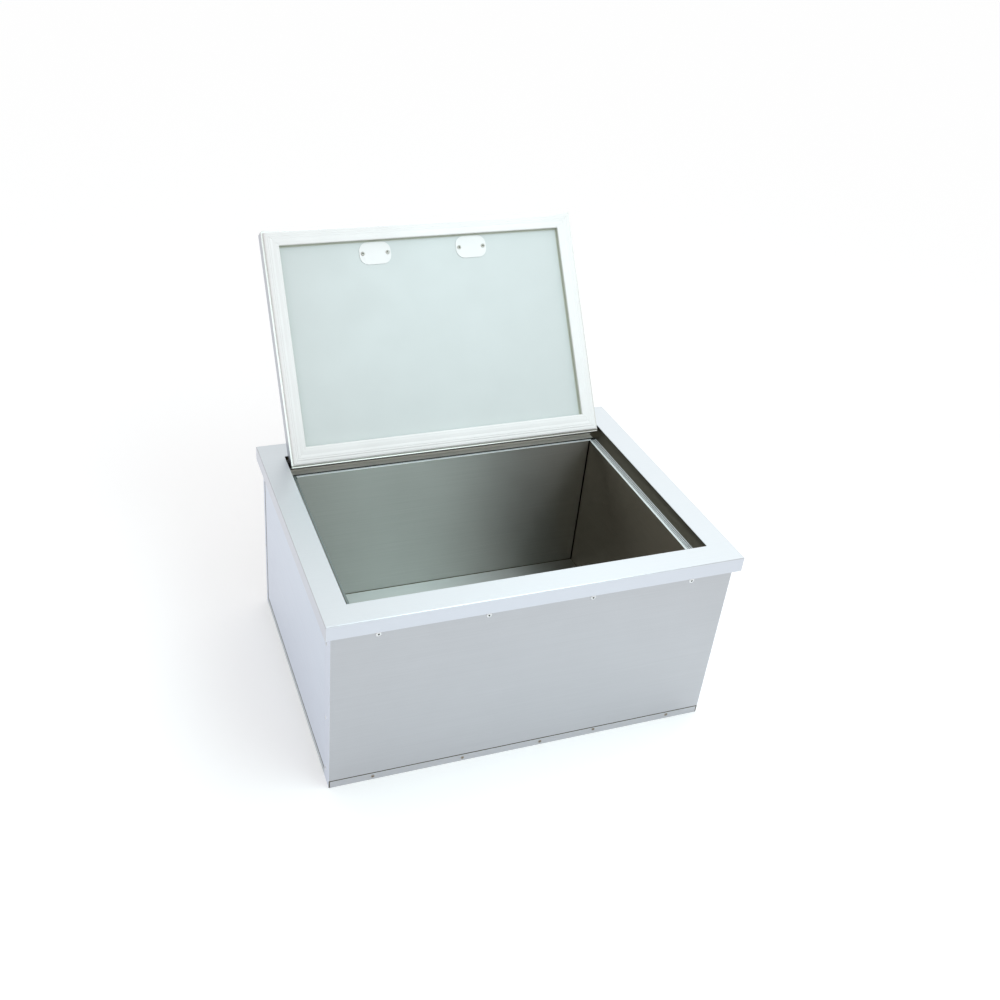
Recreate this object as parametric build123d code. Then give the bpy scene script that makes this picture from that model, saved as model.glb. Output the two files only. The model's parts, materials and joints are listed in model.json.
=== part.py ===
from build123d import *
import math
import os

os.makedirs("parts", exist_ok=True)

# Drop-in ice chest: a double-walled, foam-filled box of brushed stainless sheet that hangs in a counter
# cut-out by its wide folded flange, with a gasketed lid on two pins. Millimetres, +Z up, +Y to the back.
# The origin is the centre of the flat underside. The lid is built closed and then swung to its open rest.

# Flange (top frame)
flange_width = 686.0
flange_depth = 515.0
chest_height = 343.0
frame_sheet = 1.2
lip_height = 25.4
hem_width = 8.0
band_side = 43.0
band_front = 44.5
frame_fold_radius = 1.6
opening_edge_radius = 0.9

# Outer body
body_inset = 10.0
shell_sheet = 1.0
pan_flange = 14.0
front_seam = 0.6
side_seam = 1.5
corner_slit = 0.8
front_return = 30.0
back_return = 11.0
return_seam = 0.3
lap = 14.0
tab_edge = 4.0

# Rails behind the panel tops
rail_end_gap = 33.0
rail_drop = 46.0
rail_ledge = 20.0

# Tub
recess_depth = 28.0
ledge_side = 14.0
ledge_front = 14.0
ledge_back = 29.0
rim_width = 4.0
rim_radius = 0.8
tub_sheet = 1.0
tub_seam = 0.8
floor_height = 34.0

# Thermal breaker strips between the tub's rim and the skirt
strip_depth = 10.0
strip_face_drop = 0.6
strip_bead = 2.5
strip_groove = 0.9
strip_grooves = 3
channel_land = 1.5
channel_drop = 4.0
channel_bead_drop = 1.0

# Lid
lid_side_gap = 5.0
lid_end_gap = 4.0
lid_sheet = 1.0
lid_proud = 5.5
lid_edge_radius = 2.0
lid_return = 25.0
gasket_height = 6.0
gasket_inset = 4.4
gasket_edge_side = 29.0
gasket_edge_front = 28.5
gasket_edge_hinge = 34.5
gasket_groove_depth = 0.9
gasket_groove_width = 1.8
gasket_grooves = 3
liner_sheet = 0.8
liner_lap = 16.0
liner_recess = 11.0
liner_setback = 1.2

# Hinge
hinge_from_back = 15.6
hinge_from_top = 4.5
lid_rest_gap = 0.3
pin_radius = 2.5
pin_head_radius = 3.1
pin_head_height = 2.0
pin_fit = 0.05
pin_reach = 6.0
bush_radius = 5.0
bush_end_gap = 0.3
doubler_sheet = 2.0
doubler_width = 24.0
doubler_drop = 20.0
lid_plate_sheet = 3.0
lid_plate_width = 18.0
lid_plate_height = 22.0
pocket_gap = 0.3

# Handle and its covers
post_spacing = 184.0
post_from_edge = 51.0
post_radius = 7.5
bar_radius = 9.0
bar_standoff = 45.0
bar_overhang = 24.0
bar_end_radius = 2.5
bolt_radius = 3.0
bolt_head_radius = 5.0
bolt_head_height = 4.0
bolt_reach = 16.0
washer_radius = 9.0
washer_sheet = 1.6
hardware_fit = 0.2
cover_width = 59.0
cover_height = 40.0
cover_corner = 16.0
cover_sheet = 1.0
cover_lap = 9.0
cover_screw_spacing = 46.6
screw_radius = 1.6
screw_head_radius = 3.7
screw_head_height = 1.7
screw_length = 8.0
cross_width = 1.0
cross_depth = 0.9
cross_reach = 2.2

# Rivets
rivet_from_rail_end = 40.05
rivet_count = 4
rivet_drop = 37.0
rivet_radius = 2.4
rivet_head_radius = 4.75
rivet_head_height = 1.4
rivet_dome_radius = 1.0
rivet_tail_radius = 3.4
rivet_tail_length = 4.5
pin_hole_radius = 1.5
small_rivet_radius = 1.6
small_rivet_head_radius = 2.9
small_rivet_head_height = 0.8
small_rivet_dome_radius = 0.55
small_rivet_tail_radius = 2.3
small_rivet_tail_length = 3.2
small_pin_hole_radius = 1.0
rivet_fit = 0.05
base_rivets_from_left = 73.0
base_rivets_from_right = 60.0
base_rivet_steps = ((0.0, 6.5), (154 / 533, 6.5), (293 / 533, 6.5), (392 / 533, 9.5), (1.0, 8.0))
side_base_rivets_from_front = 62.5
side_base_rivets_from_back = 42.5
side_base_rivet_steps = (0.0, 142 / 390, 284 / 390, 1.0)
side_base_rivet_z = 7.0
front_return_rivet_inset = 21.5
back_return_rivet_inset = 6.0
return_rivet_low = 24.0
return_rivet_middle = 135.0
return_rivet_drop = 58.0

# Drain
drain_from_front = 120.0
drain_flange_radius = 27.0
drain_flange_height = 4.0
drain_tube_radius = 18.5
drain_seat_radius = 15.0
drain_seat_depth = 8.5
drain_neck_radius = 9.5
drain_outlet_radius = 11.7
drain_outlet_length = 18.0
drain_base_gap = 0.4
drain_fit = 0.3
drain_washer_height = 1.5
drain_nut_flats = 50.0
drain_nut_height = 8.0
strainer_sheet = 1.0
strainer_hole_radius = 1.6
strainer_hole_rings = ((0.0, 1), (4.2, 6), (7.6, 10))
plug_taper = 0.5
plug_brim_radius = 18.0
plug_brim_height = 3.0
plug_neck_radius = 4.0
plug_knob_radius = 7.5
plug_knob_height = 8.0
plug_edge = 1.0
drain_washer_setback = 1.0

# Places worked out from the sizes above
half_w = flange_width / 2
half_d = flange_depth / 2
open_x = half_w - band_side
open_y = half_d - band_front
plate_under = chest_height - frame_sheet
lip_bottom = chest_height - lip_height
body_x = half_w - body_inset
body_y = half_d - body_inset
rim_z = chest_height - recess_depth
tub_x = open_x - ledge_side
tub_front = -open_y + ledge_front
tub_back = open_y - ledge_back
foam_x = body_x - 2 * shell_sheet
foam_y = body_y - 2 * shell_sheet
foam_floor = floor_height - tub_sheet
foam_top = plate_under - shell_sheet
strip_bottom = rim_z - strip_depth
skirt_x = open_x + frame_sheet
skirt_y = open_y + frame_sheet
return_end = -body_y + front_return
strip_start = body_y - back_return
hinge_y = open_y - hinge_from_back
hinge_z = chest_height - hinge_from_top
lid_x = open_x - lid_side_gap
lid_y = open_y - lid_end_gap
lid_low = rim_z + gasket_height
lid_top = chest_height + lid_proud
post_x = post_spacing / 2
post_y = -lid_y + post_from_edge
liner_z = rim_z + liner_recess
drain_y = tub_front + drain_from_front
drain_seat_z = floor_height + drain_washer_height + drain_flange_height - drain_seat_depth
rail_half = body_x - rail_end_gap
rivet_pitch = 2 * (rail_half - rivet_from_rail_end) / (rivet_count - 1)
rivet_xs = [(i - (rivet_count - 1) / 2) * rivet_pitch for i in range(rivet_count)]
rivet_z = chest_height - rivet_drop
return_rivet_heights = (return_rivet_low, return_rivet_middle, chest_height - return_rivet_drop)


def spread(first, last, steps):
    """Places between two ends, given as shares of the run."""
    return [first + step * (last - first) for step in steps]


base_rivet_xs = spread(-body_x + base_rivets_from_left, body_x - base_rivets_from_right,
                       [step for step, _ in base_rivet_steps])
base_rivets = list(zip(base_rivet_xs, [z for _, z in base_rivet_steps]))
side_base_rivets = spread(-body_y + side_base_rivets_from_front, body_y - side_base_rivets_from_back,
                          side_base_rivet_steps)

# The open lid leans with its outer face on the back edge of the flange's opening
reach = math.hypot(hinge_from_back, hinge_from_top)
lid_above_hinge = lid_top - hinge_z + lid_rest_gap
open_angle = math.degrees(math.atan2(hinge_from_back, hinge_from_top) + math.acos(lid_above_hinge / reach))


def slab(x0, x1, y0, y1, z0, z1):
    """A box between two corners."""
    return Pos((x0 + x1) / 2, (y0 + y1) / 2, (z0 + z1) / 2) * Box(x1 - x0, y1 - y0, z1 - z0)


def block(half_x, half_y, z0, z1):
    """A box centred on the Z axis."""
    return slab(-half_x, half_x, -half_y, half_y, z0, z1)


def rod_x(radius, x0, x1, y, z):
    return Pos((x0 + x1) / 2, y, z) * Rot(0, 90, 0) * Cylinder(radius, abs(x1 - x0))


def rod_y(radius, x, y0, y1, z):
    return Pos(x, (y0 + y1) / 2, z) * Rot(90, 0, 0) * Cylinder(radius, abs(y1 - y0))


def rod_z(radius, x, y, z0, z1):
    return Pos(x, y, (z0 + z1) / 2) * Cylinder(radius, z1 - z0)


def bar_x(outline, x0, x1):
    """An outline of (y, z) points run along X."""
    return Pos(x0, 0, 0) * extrude(Plane.YZ * make_face(Polyline(*outline, close=True)), x1 - x0)


def bar_y(outline, y0, y1):
    """An outline of (x, z) points run along Y."""
    return Pos(0, y1, 0) * extrude(Plane.XZ * make_face(Polyline(*outline, close=True)), y1 - y0)


def plan(outline, z0, z1):
    """An outline of (x, y) points run up Z."""
    return Pos(0, 0, z0) * extrude(make_face(Polyline(*outline, close=True)), z1 - z0)


def mirror_x(shape):
    return mirror(shape, about=Plane.YZ)


def write(node, shape):
    export_step(shape, "parts/" + node + ".step")


def write_pair(name, left):
    """A left piece and its mirror image."""
    write(name + "_left", left)
    write(name + "_right", mirror_x(left))


def write_open(node, closed):
    """A piece of the lid, swung from closed to its open rest."""
    write(node, closed.rotate(Axis((0, hinge_y, hinge_z), (1, 0, 0)), -open_angle))


def write_open_pair(name, left):
    write_open(name + "_left", left)
    write_open(name + "_right", mirror_x(left))


def top_frame():
    """The flange: top sheet, folded lip with an inturned hem, and the skirt round the opening."""
    outer = block(half_w, half_d, lip_bottom, chest_height)
    folds = outer.edges().filter_by(Axis.Z) + outer.faces().sort_by(Axis.Z)[-1].edges()
    outer = fillet(folds, frame_fold_radius)
    inside = block(half_w - frame_sheet, half_d - frame_sheet, lip_bottom + frame_sheet, plate_under)
    hem_gap = block(half_w - hem_width, half_d - hem_width, lip_bottom, lip_bottom + frame_sheet)
    skirt = block(skirt_x, skirt_y, strip_bottom, chest_height - opening_edge_radius)
    opening = block(open_x, open_y, strip_bottom, chest_height)
    frame = outer - inside - hem_gap + skirt - opening
    rim = frame.faces().filter_by(Axis.Z).sort_by(Axis.Z)[-1].inner_wires()[0].edges()
    frame = fillet(rim, opening_edge_radius)
    for side in (-1, 1):
        frame -= rod_x(pin_radius + pin_fit, side * open_x, side * skirt_x, hinge_y, hinge_z)
    return frame


def small_holes(spots, axis):
    """Clearance holes for the small rivets at (x, y, z) spots on the left half or the front and back."""
    holes = []
    for x, y, z in spots:
        radius = small_rivet_radius + rivet_fit
        span = 3 * shell_sheet
        if axis == "y":
            holes.append(rod_y(radius, x, y - span, y + span, z))
        else:
            holes.append(rod_x(radius, x - span, x + span, y, z))
    return holes


def base_spots(face):
    return [(x, face, z) for x, z in base_rivets]


def return_spots(side):
    """Rivets that join the front and back returns to a side panel's laps."""
    spots = []
    for z in return_rivet_heights:
        spots.append((side * body_x, -body_y + front_return_rivet_inset, z))
        spots.append((side * body_x, body_y - back_return_rivet_inset, z))
    return spots


def side_base_spots(side):
    return [(side * body_x, y, side_base_rivet_z) for y in side_base_rivets]


def end_panel(side, panel_return):
    """The front (side -1) or back (side 1) sheet, with two returns down to the base and a low lap."""
    face = side * body_y
    inner = face - side * shell_sheet
    lap_inner = inner - side * shell_sheet
    ys = sorted((face, inner))
    panel = slab(-body_x, body_x, *ys, pan_flange + front_seam, plate_under)
    ys = sorted((face, face - side * panel_return))
    for x in (-body_x, body_x - shell_sheet):
        panel += slab(x, x + shell_sheet, *ys, 0, plate_under)
    ys = sorted((inner, lap_inner))
    lap_x = body_x - front_return
    panel += slab(-lap_x, lap_x, *ys, shell_sheet + pocket_gap, pan_flange + front_seam + lap)
    for x in rivet_xs:
        panel -= rod_y(rivet_radius + rivet_fit, x, *ys, rivet_z)
        panel -= rod_y(rivet_radius + rivet_fit, x, face, inner, rivet_z)
    panel -= small_holes(base_spots(face), "y")
    panel -= small_holes([s for s in return_spots(-1) + return_spots(1) if s[1] * side > 0], "x")
    return panel


def side_panel():
    """The left sheet, flush with the end panels' returns, with laps behind them and behind the pan."""
    outer = -body_x
    inner = outer + shell_sheet
    low = pan_flange + side_seam
    front_edge = return_end + return_seam
    back_edge = strip_start - side_seam
    panel = slab(outer, inner, front_edge, back_edge, low, plate_under)
    lap_out = inner + shell_sheet
    back_lap = body_y - 2 * shell_sheet - pocket_gap
    panel += slab(inner, lap_out, -body_y + tab_edge, front_edge + lap, low, plate_under)
    panel += slab(inner, lap_out, back_edge - lap, back_lap, low, plate_under)
    panel += slab(inner, lap_out, front_edge, back_edge, shell_sheet + pocket_gap, low + lap)
    panel -= small_holes(return_spots(-1) + side_base_spots(-1), "x")
    return panel


def bottom_pan():
    """The base tray, its four edges folded up flush with the panels."""
    pan = block(body_x - shell_sheet, body_y, 0, shell_sheet)
    flange_x = body_x - shell_sheet - corner_slit
    for side in (-1, 1):
        ys = sorted((side * body_y, side * (body_y - shell_sheet)))
        pan += slab(-flange_x, flange_x, *ys, 0, pan_flange)
        xs = sorted((side * body_x, side * (body_x - shell_sheet)))
        pan += slab(*xs, return_end + return_seam, strip_start - side_seam, 0, pan_flange)
        pan -= small_holes(base_spots(side * body_y), "y")
        pan -= small_holes(side_base_spots(side), "x")
    return pan - rod_z(drain_tube_radius + drain_fit, 0, drain_y, 0, shell_sheet)


def rail(side):
    """An angle behind a panel's top edge: it takes the rivets and stiffens the flange."""
    face = side * (body_y - shell_sheet)
    ys = sorted((face, face - side * shell_sheet))
    angle = slab(-rail_half, rail_half, *ys, plate_under - rail_drop, plate_under)
    ys = sorted((face, face - side * rail_ledge))
    angle += slab(-rail_half, rail_half, *ys, foam_top, plate_under)
    for x in rivet_xs:
        angle -= rod_y(rivet_radius + rivet_fit, x, face, face - side * shell_sheet, rivet_z)
    return angle


def tub_end_wall(side, face):
    """A front or back tub sheet, full width, with its rim turned outwards."""
    ys = sorted((face, face + side * tub_sheet))
    wall = slab(-tub_x - tub_sheet, tub_x + tub_sheet, *ys, foam_floor, rim_z)
    ys = sorted((face, face + side * rim_width))
    wall += slab(-tub_x - rim_width, tub_x + rim_width, *ys, rim_z - tub_sheet, rim_z)
    ridges = wall.edges().filter_by(Axis.X)
    fold = ridges.sort_by(lambda e: abs(e.center().Y - face) + rim_z - e.center().Z)[0]
    return fillet(fold, rim_radius)


def tub_side_wall():
    """The left tub sheet, between the two end sheets."""
    y0 = tub_front + tub_seam
    y1 = tub_back - tub_seam
    wall = slab(-tub_x - tub_sheet, -tub_x, y0, y1, foam_floor, rim_z)
    wall += slab(-tub_x - rim_width, -tub_x, y0, y1, rim_z - tub_sheet, rim_z)
    ridges = wall.edges().filter_by(Axis.Y)
    fold = ridges.sort_by(lambda e: abs(e.center().X + tub_x) + rim_z - e.center().Z)[0]
    return fillet(fold, rim_radius)


def tub_floor():
    floor = slab(-tub_x + tub_seam, tub_x - tub_seam, tub_front + tub_seam, tub_back - tub_seam,
                 foam_floor, floor_height)
    return floor - rod_z(drain_tube_radius + drain_fit, 0, drain_y, foam_floor, floor_height)


def foam_bottom():
    foam = block(foam_x, foam_y, shell_sheet, foam_floor)
    nut_radius = drain_nut_flats / math.sqrt(3) + drain_fit
    foam -= rod_z(nut_radius, 0, drain_y, foam_floor - drain_nut_height - drain_fit, foam_floor)
    foam -= rod_z(drain_tube_radius + drain_fit, 0, drain_y, shell_sheet, foam_floor)
    return foam - tail_pockets()


def tail_pockets():
    """Room in the foam for every rivet's blind end."""
    pockets = []
    for side in (-1, 1):
        y = side * foam_y
        end = y - side * (rivet_tail_length + pocket_gap)
        for x in rivet_xs:
            pockets.append(rod_y(rivet_tail_radius + pocket_gap, x, y, end, rivet_z))
        end = y - side * (small_rivet_tail_length + pocket_gap)
        for x, z in base_rivets:
            pockets.append(rod_y(small_rivet_tail_radius + pocket_gap, x, y, end, z))
        x = side * foam_x
        end = x - side * (small_rivet_tail_length + pocket_gap)
        for _, y, z in return_spots(side) + side_base_spots(side):
            pockets.append(rod_x(small_rivet_tail_radius + pocket_gap, x, end, y, z))
    return pockets


def foam_end(side, wall):
    """Foam between an end panel and the tub's end wall, and up beside the skirt to the flange."""
    ys = sorted((wall, side * foam_y))
    foam = slab(-foam_x, foam_x, *ys, foam_floor, strip_bottom)
    ys = sorted((side * skirt_y, side * foam_y))
    foam += slab(-foam_x, foam_x, *ys, strip_bottom, foam_top)
    return foam - tail_pockets()


def foam_side():
    """Foam at the left, with a pocket round the hinge pin's doubler."""
    inner = -tub_x - tub_sheet
    foam = slab(-foam_x, inner, tub_front - tub_sheet, tub_back + tub_sheet, foam_floor, strip_bottom)
    foam += slab(-foam_x, -skirt_x, -skirt_y, skirt_y, strip_bottom, foam_top)
    deep = skirt_x + doubler_sheet + pin_head_height + pocket_gap
    half = doubler_width / 2 + pocket_gap
    low = hinge_z - doubler_drop - pocket_gap
    pocket = slab(-deep, -skirt_x, hinge_y - half, hinge_y + half, low, foam_top)
    return foam - pocket - tail_pockets()


def strip_top(start, end):
    """The grooved top face of a strip, as (u, z) points from its inner to its outer edge."""
    z = rim_z - strip_face_drop
    pitch = (end - start) / strip_grooves
    points = [(start, z)]
    for i in range(strip_grooves):
        middle = start + (i + 0.5) * pitch
        points += [(middle - strip_groove / 2, z), (middle - strip_groove / 4, z - strip_groove / 2),
                   (middle + strip_groove / 4, z - strip_groove / 2), (middle + strip_groove / 2, z)]
    return points + [(end, z)]


def strip_section(ledge):
    """Section of a level strip, u counted outwards from the tub wall's outer face."""
    tongue = rim_width - tub_sheet
    outer = ledge - tub_sheet
    section = [(0, rim_z - tub_sheet), (0, strip_bottom), (outer, strip_bottom), (outer, rim_z)]
    section += [(outer - strip_bead, rim_z)]
    section += list(reversed(strip_top(tongue, outer - strip_bead)))
    return section + [(tongue, rim_z - tub_sheet)]


def end_strip(side, wall, section):
    """The strip's body runs the opening's full width; its tongue only runs under the rim."""
    outer_face = wall + side * tub_sheet
    outline = [(outer_face + side * u, z) for u, z in section]
    strip = bar_x(outline, -open_x, open_x)
    ys = sorted((outer_face, wall + side * rim_width))
    for x in (-1, 1):
        xs = sorted((x * (tub_x + rim_width), x * open_x))
        strip -= slab(*xs, *ys, strip_bottom, rim_z)
    return strip


def back_section():
    """Behind the tub the strip drops to a channel that the lid's gasket edge swings through."""
    tongue = rim_width - tub_sheet
    outer = ledge_back - tub_sheet
    face = rim_z - strip_face_drop
    floor = rim_z - channel_drop
    bead = rim_z - channel_bead_drop
    land = tongue + channel_land
    middle = (land + outer - strip_bead) / 2
    section = [(0, rim_z - tub_sheet), (0, strip_bottom), (outer, strip_bottom), (outer, bead)]
    section += [(outer - strip_bead, bead), (outer - strip_bead, floor)]
    section += [(middle + strip_groove, floor), (middle, floor - strip_groove)]
    section += [(middle - strip_groove, floor)]
    return section + [(land, floor), (land, face), (tongue, face), (tongue, rim_z - tub_sheet)]


def side_strip():
    """The left strip: its body reaches between the end strips, its tongue between the end walls."""
    wall = -tub_x - tub_sheet
    outline = [(wall - u, z) for u, z in strip_section(ledge_side)]
    y0 = tub_front - rim_width
    y1 = tub_back + rim_width
    strip = bar_y(outline, y0, y1)
    tongue = wall - rim_width + tub_sheet
    strip -= slab(tongue, wall, y0, tub_front - tub_sheet, strip_bottom, rim_z)
    return strip - slab(tongue, wall, tub_back + tub_sheet, y1, strip_bottom, rim_z)


def hinge_doubler():
    """Plate welded behind the skirt, so that the thin sheet doesn't tear at the pin."""
    half = doubler_width / 2
    plate = slab(-skirt_x - doubler_sheet, -skirt_x, hinge_y - half, hinge_y + half,
                 hinge_z - doubler_drop, plate_under)
    corners = plate.edges().filter_by(Axis.X).sort_by(Axis.Z)[:2]
    plate = fillet(corners, half / 2)
    return plate - rod_x(pin_radius + pin_fit, -skirt_x - doubler_sheet, -skirt_x, hinge_y, hinge_z)


def hinge_pin():
    """Headed pin from outside the doubler, through skirt and bush, into the lid's plate."""
    head_face = -skirt_x - doubler_sheet
    pin = rod_x(pin_radius, head_face, -lid_x + pin_reach, hinge_y, hinge_z)
    tip = pin.edges().filter_by(GeomType.CIRCLE).sort_by(Axis.X)[-1]
    pin = chamfer(tip, pin_radius / 3)
    return pin + rod_x(pin_head_radius, head_face - pin_head_height, head_face, hinge_y, hinge_z)


def hinge_bush():
    """Black nylon spacer that keeps the lid's end off the skirt."""
    x0 = -open_x + bush_end_gap
    x1 = -lid_x - bush_end_gap
    bush = rod_x(bush_radius, x0, x1, hinge_y, hinge_z)
    return bush - rod_x(pin_radius + pin_fit, x0, x1, hinge_y, hinge_z)


def lid_plate_bounds():
    """Where the lid's hinge plates lie: from front to back, and from low to high."""
    y1 = min(hinge_y + lid_plate_width / 2, lid_y - lid_sheet - pocket_gap)
    z1 = lid_top - lid_sheet - pocket_gap
    return y1 - lid_plate_width, y1, z1 - lid_plate_height, z1


def lid_hinge_plate():
    """Thick plate inside the lid's end, with the bearing hole for the pin."""
    outer = -lid_x + lid_sheet
    plate = slab(outer, outer + lid_plate_sheet, *lid_plate_bounds())
    return plate - rod_x(pin_radius + pin_fit, outer, outer + lid_plate_sheet, hinge_y, hinge_z)


def lid_skin():
    """The lid's outer pan: top, four sides and a return that the gasket sits on."""
    outer = block(lid_x, lid_y, lid_low, lid_top)
    folds = outer.edges().filter_by(Axis.Z) + outer.faces().sort_by(Axis.Z)[-1].edges()
    skin = fillet(folds, lid_edge_radius)
    skin -= block(lid_x - lid_sheet, lid_y - lid_sheet, lid_low + lid_sheet, lid_top - lid_sheet)
    skin -= block(lid_x - lid_return, lid_y - lid_return, lid_low, lid_low + lid_sheet)
    for side in (-1, 1):
        end = side * lid_x
        skin -= rod_x(pin_radius + 2 * pin_fit, end, end - side * lid_sheet, hinge_y, hinge_z)
        skin -= rod_z(bolt_radius + hardware_fit, side * post_x, post_y, lid_top - lid_sheet, lid_top)
    return skin


def liner_bounds(out):
    """Plan corners of the liner's tray, moved out by a given amount."""
    side = lid_x - gasket_edge_side + liner_setback + out
    front = -lid_y + gasket_edge_front - liner_setback - out
    back = lid_y - gasket_edge_hinge + liner_setback + out
    return -side, side, front, back


def cover_outline(grow):
    """A cover's plate shape: level top and bottom with well-rounded ends."""
    width = cover_width + 2 * grow
    height = cover_height + 2 * grow
    return RectangleRounded(width, height, cover_corner + grow)


def screw_spots(side):
    return [(side * post_x + s * cover_screw_spacing / 2, post_y) for s in (-1, 1)]


def lid_liner():
    """The inner tray, recessed behind the gasket, with an access hole behind each handle post."""
    flange_z = lid_low + lid_sheet
    tray = slab(*liner_bounds(liner_lap), flange_z, flange_z + liner_sheet)
    tray += slab(*liner_bounds(0), flange_z, liner_z + liner_sheet)
    tray -= slab(*liner_bounds(-liner_sheet), flange_z, liner_z)
    for side in (-1, 1):
        hole = extrude(cover_outline(-cover_lap), liner_sheet)
        tray -= Pos(side * post_x, post_y, liner_z) * hole
        for x, y in screw_spots(side):
            tray -= rod_z(screw_radius + hardware_fit / 2, x, y, liner_z, liner_z + liner_sheet)
    return tray


def lid_foam():
    """Foam that fills the lid, with pockets for the hinge plates, the handle's bolts and the screws."""
    foam = block(lid_x - lid_sheet, lid_y - lid_sheet, lid_low + lid_sheet, lid_top - lid_sheet)
    foam -= slab(*liner_bounds(liner_lap), lid_low, lid_low + lid_sheet + liner_sheet)
    foam -= slab(*liner_bounds(0), lid_low, liner_z + liner_sheet)
    foam -= block(lid_x - lid_return, lid_y - lid_return, lid_low, lid_low + lid_sheet + liner_sheet)
    y0, _, z0, _ = lid_plate_bounds()
    end = lid_x - lid_sheet
    deep = lid_plate_sheet + pin_reach
    for side in (-1, 1):
        xs = sorted((side * end, side * (end - deep)))
        foam -= slab(*xs, y0 - pocket_gap, lid_y, z0 - pocket_gap, lid_top)
        hole = extrude(cover_outline(-cover_lap), lid_top - liner_z)
        foam -= Pos(side * post_x, post_y, liner_z) * hole
        for x, y in screw_spots(side):
            foam -= rod_z(screw_radius + pocket_gap, x, y, liner_z, liner_z + screw_length + pocket_gap)
    return foam


def gasket_section(width, low):
    """Half-hollow look of the bulb seal: a flat back and a face with grooves, as (u, z) points."""
    pitch = width / (gasket_grooves + 1)
    points = [(0, low + gasket_height), (0, low + gasket_groove_depth), (gasket_groove_depth, low)]
    for i in range(gasket_grooves):
        middle = (i + 1) * pitch
        half = gasket_groove_width / 2
        points += [(middle - half, low), (middle, low + gasket_groove_depth), (middle + half, low)]
    points += [(width - gasket_groove_depth, low), (width, low + gasket_groove_depth)]
    return points + [(width, low + gasket_height)]


def gasket(side):
    """One mitred length of the seal: front, back, left or right."""
    outer_x = lid_x - gasket_inset
    outer_y = lid_y - gasket_inset
    inner_x = lid_x - gasket_edge_side
    front = -lid_y + gasket_edge_front
    back = lid_y - gasket_edge_hinge
    if side == "front":
        section = [(-outer_y + u, z) for u, z in gasket_section(front + outer_y, rim_z)]
        cut = [(-outer_x, -outer_y), (outer_x, -outer_y), (inner_x, front), (-inner_x, front)]
        length = bar_x(section, -outer_x, outer_x)
    elif side == "back":
        section = [(outer_y - u, z) for u, z in gasket_section(outer_y - back, rim_z)]
        cut = [(-outer_x, outer_y), (outer_x, outer_y), (inner_x, back), (-inner_x, back)]
        length = bar_x(section, -outer_x, outer_x)
    else:
        section = [(-outer_x + u, z) for u, z in gasket_section(outer_x - inner_x, rim_z)]
        cut = [(-outer_x, -outer_y), (-outer_x, outer_y), (-inner_x, back), (-inner_x, front)]
        length = bar_y(section, -outer_y, outer_y)
    return length & plan(cut, rim_z, lid_low)


def handle_bar():
    """Round bar across the lid's free end, its seats cut to the posts."""
    half = post_x + bar_overhang
    z = lid_top + bar_standoff
    bar = rod_x(bar_radius, -half, half, post_y, z)
    ends = bar.edges().filter_by(GeomType.CIRCLE)
    return fillet(ends, bar_end_radius)


def handle_post():
    """Post between the lid and the bar, hollowed to the bar and tapped for its bolt."""
    z = lid_top + bar_standoff
    post = rod_z(post_radius, -post_x, post_y, lid_top, z)
    post -= rod_x(bar_radius, -post_x - 2 * post_radius, -post_x + 2 * post_radius, post_y, z)
    return post - rod_z(bolt_radius, -post_x, post_y, lid_top, lid_top + bolt_reach)


def handle_washers():
    """Washers inside the lid's skin, one round each bolt."""
    top = lid_top - lid_sheet
    low = top - washer_sheet
    hole_radius = bolt_radius + hardware_fit
    washers = []
    for side in (-1, 1):
        x = side * post_x
        washers.append(rod_z(washer_radius, x, post_y, low, top) - rod_z(hole_radius, x, post_y, low, top))
    return Compound(children=washers)


def handle_bolts():
    """Hexagon-headed bolts, put in through the liner's access holes."""
    seat = lid_top - lid_sheet - washer_sheet
    bolts = []
    for side in (-1, 1):
        hexagon = extrude(RegularPolygon(bolt_head_radius, 6, major_radius=False), bolt_head_height)
        bolt = Pos(side * post_x, post_y, seat - bolt_head_height) * hexagon
        bolt += rod_z(bolt_radius, side * post_x, post_y, seat, lid_top + bolt_reach - hardware_fit)
        bolts.append(bolt)
    return Compound(children=bolts)


def cover_plate():
    """Left cover over the handle's fixing, screwed to the liner's face."""
    plate = extrude(cover_outline(0), cover_sheet)
    plate = Pos(-post_x, post_y, liner_z - cover_sheet) * plate
    for x, y in screw_spots(-1):
        plate -= rod_z(screw_radius + hardware_fit / 2, x, y, liner_z - cover_sheet, liner_z)
    return plate


def cover_screw(x, y):
    """Pan-head screw with a cross recess, head down towards the tub."""
    face = liner_z - cover_sheet
    head = rod_z(screw_head_radius, x, y, face - screw_head_height, face)
    rim = head.edges().filter_by(GeomType.CIRCLE).sort_by(Axis.Z)[0]
    head = fillet(rim, screw_head_height / 2)
    low = face - screw_head_height
    for half_x, half_y in ((cross_reach, cross_width / 2), (cross_width / 2, cross_reach)):
        head -= slab(x - half_x, x + half_x, y - half_y, y + half_y, low, low + cross_depth)
    return head + rod_z(screw_radius, x, y, face, liner_z + screw_length)


def cover_screws():
    return Compound(children=[cover_screw(x, y) for side in (-1, 1) for x, y in screw_spots(side)])


def blind_rivet(radius, head_radius, head_height, dome, tail_radius, tail_length, hole_radius):
    """A set blind rivet along +Z: domed head above 0, shank through two sheets, bulged tail below."""
    grip = 2 * shell_sheet
    head = Pos(0, 0, head_height / 2) * Cylinder(head_radius, head_height)
    rim = head.edges().filter_by(GeomType.CIRCLE).sort_by(Axis.Z)[-1]
    head = fillet(rim, dome)
    head -= Pos(0, 0, head_height / 2) * Cylinder(hole_radius, head_height)
    shank = Pos(0, 0, -grip / 2) * Cylinder(radius, grip)
    tail = Pos(0, 0, -grip - tail_length / 2) * Cylinder(tail_radius, tail_length)
    ring = tail.edges().filter_by(GeomType.CIRCLE).sort_by(Axis.Z)[0]
    return head + shank + fillet(ring, tail_radius / 2)


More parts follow.
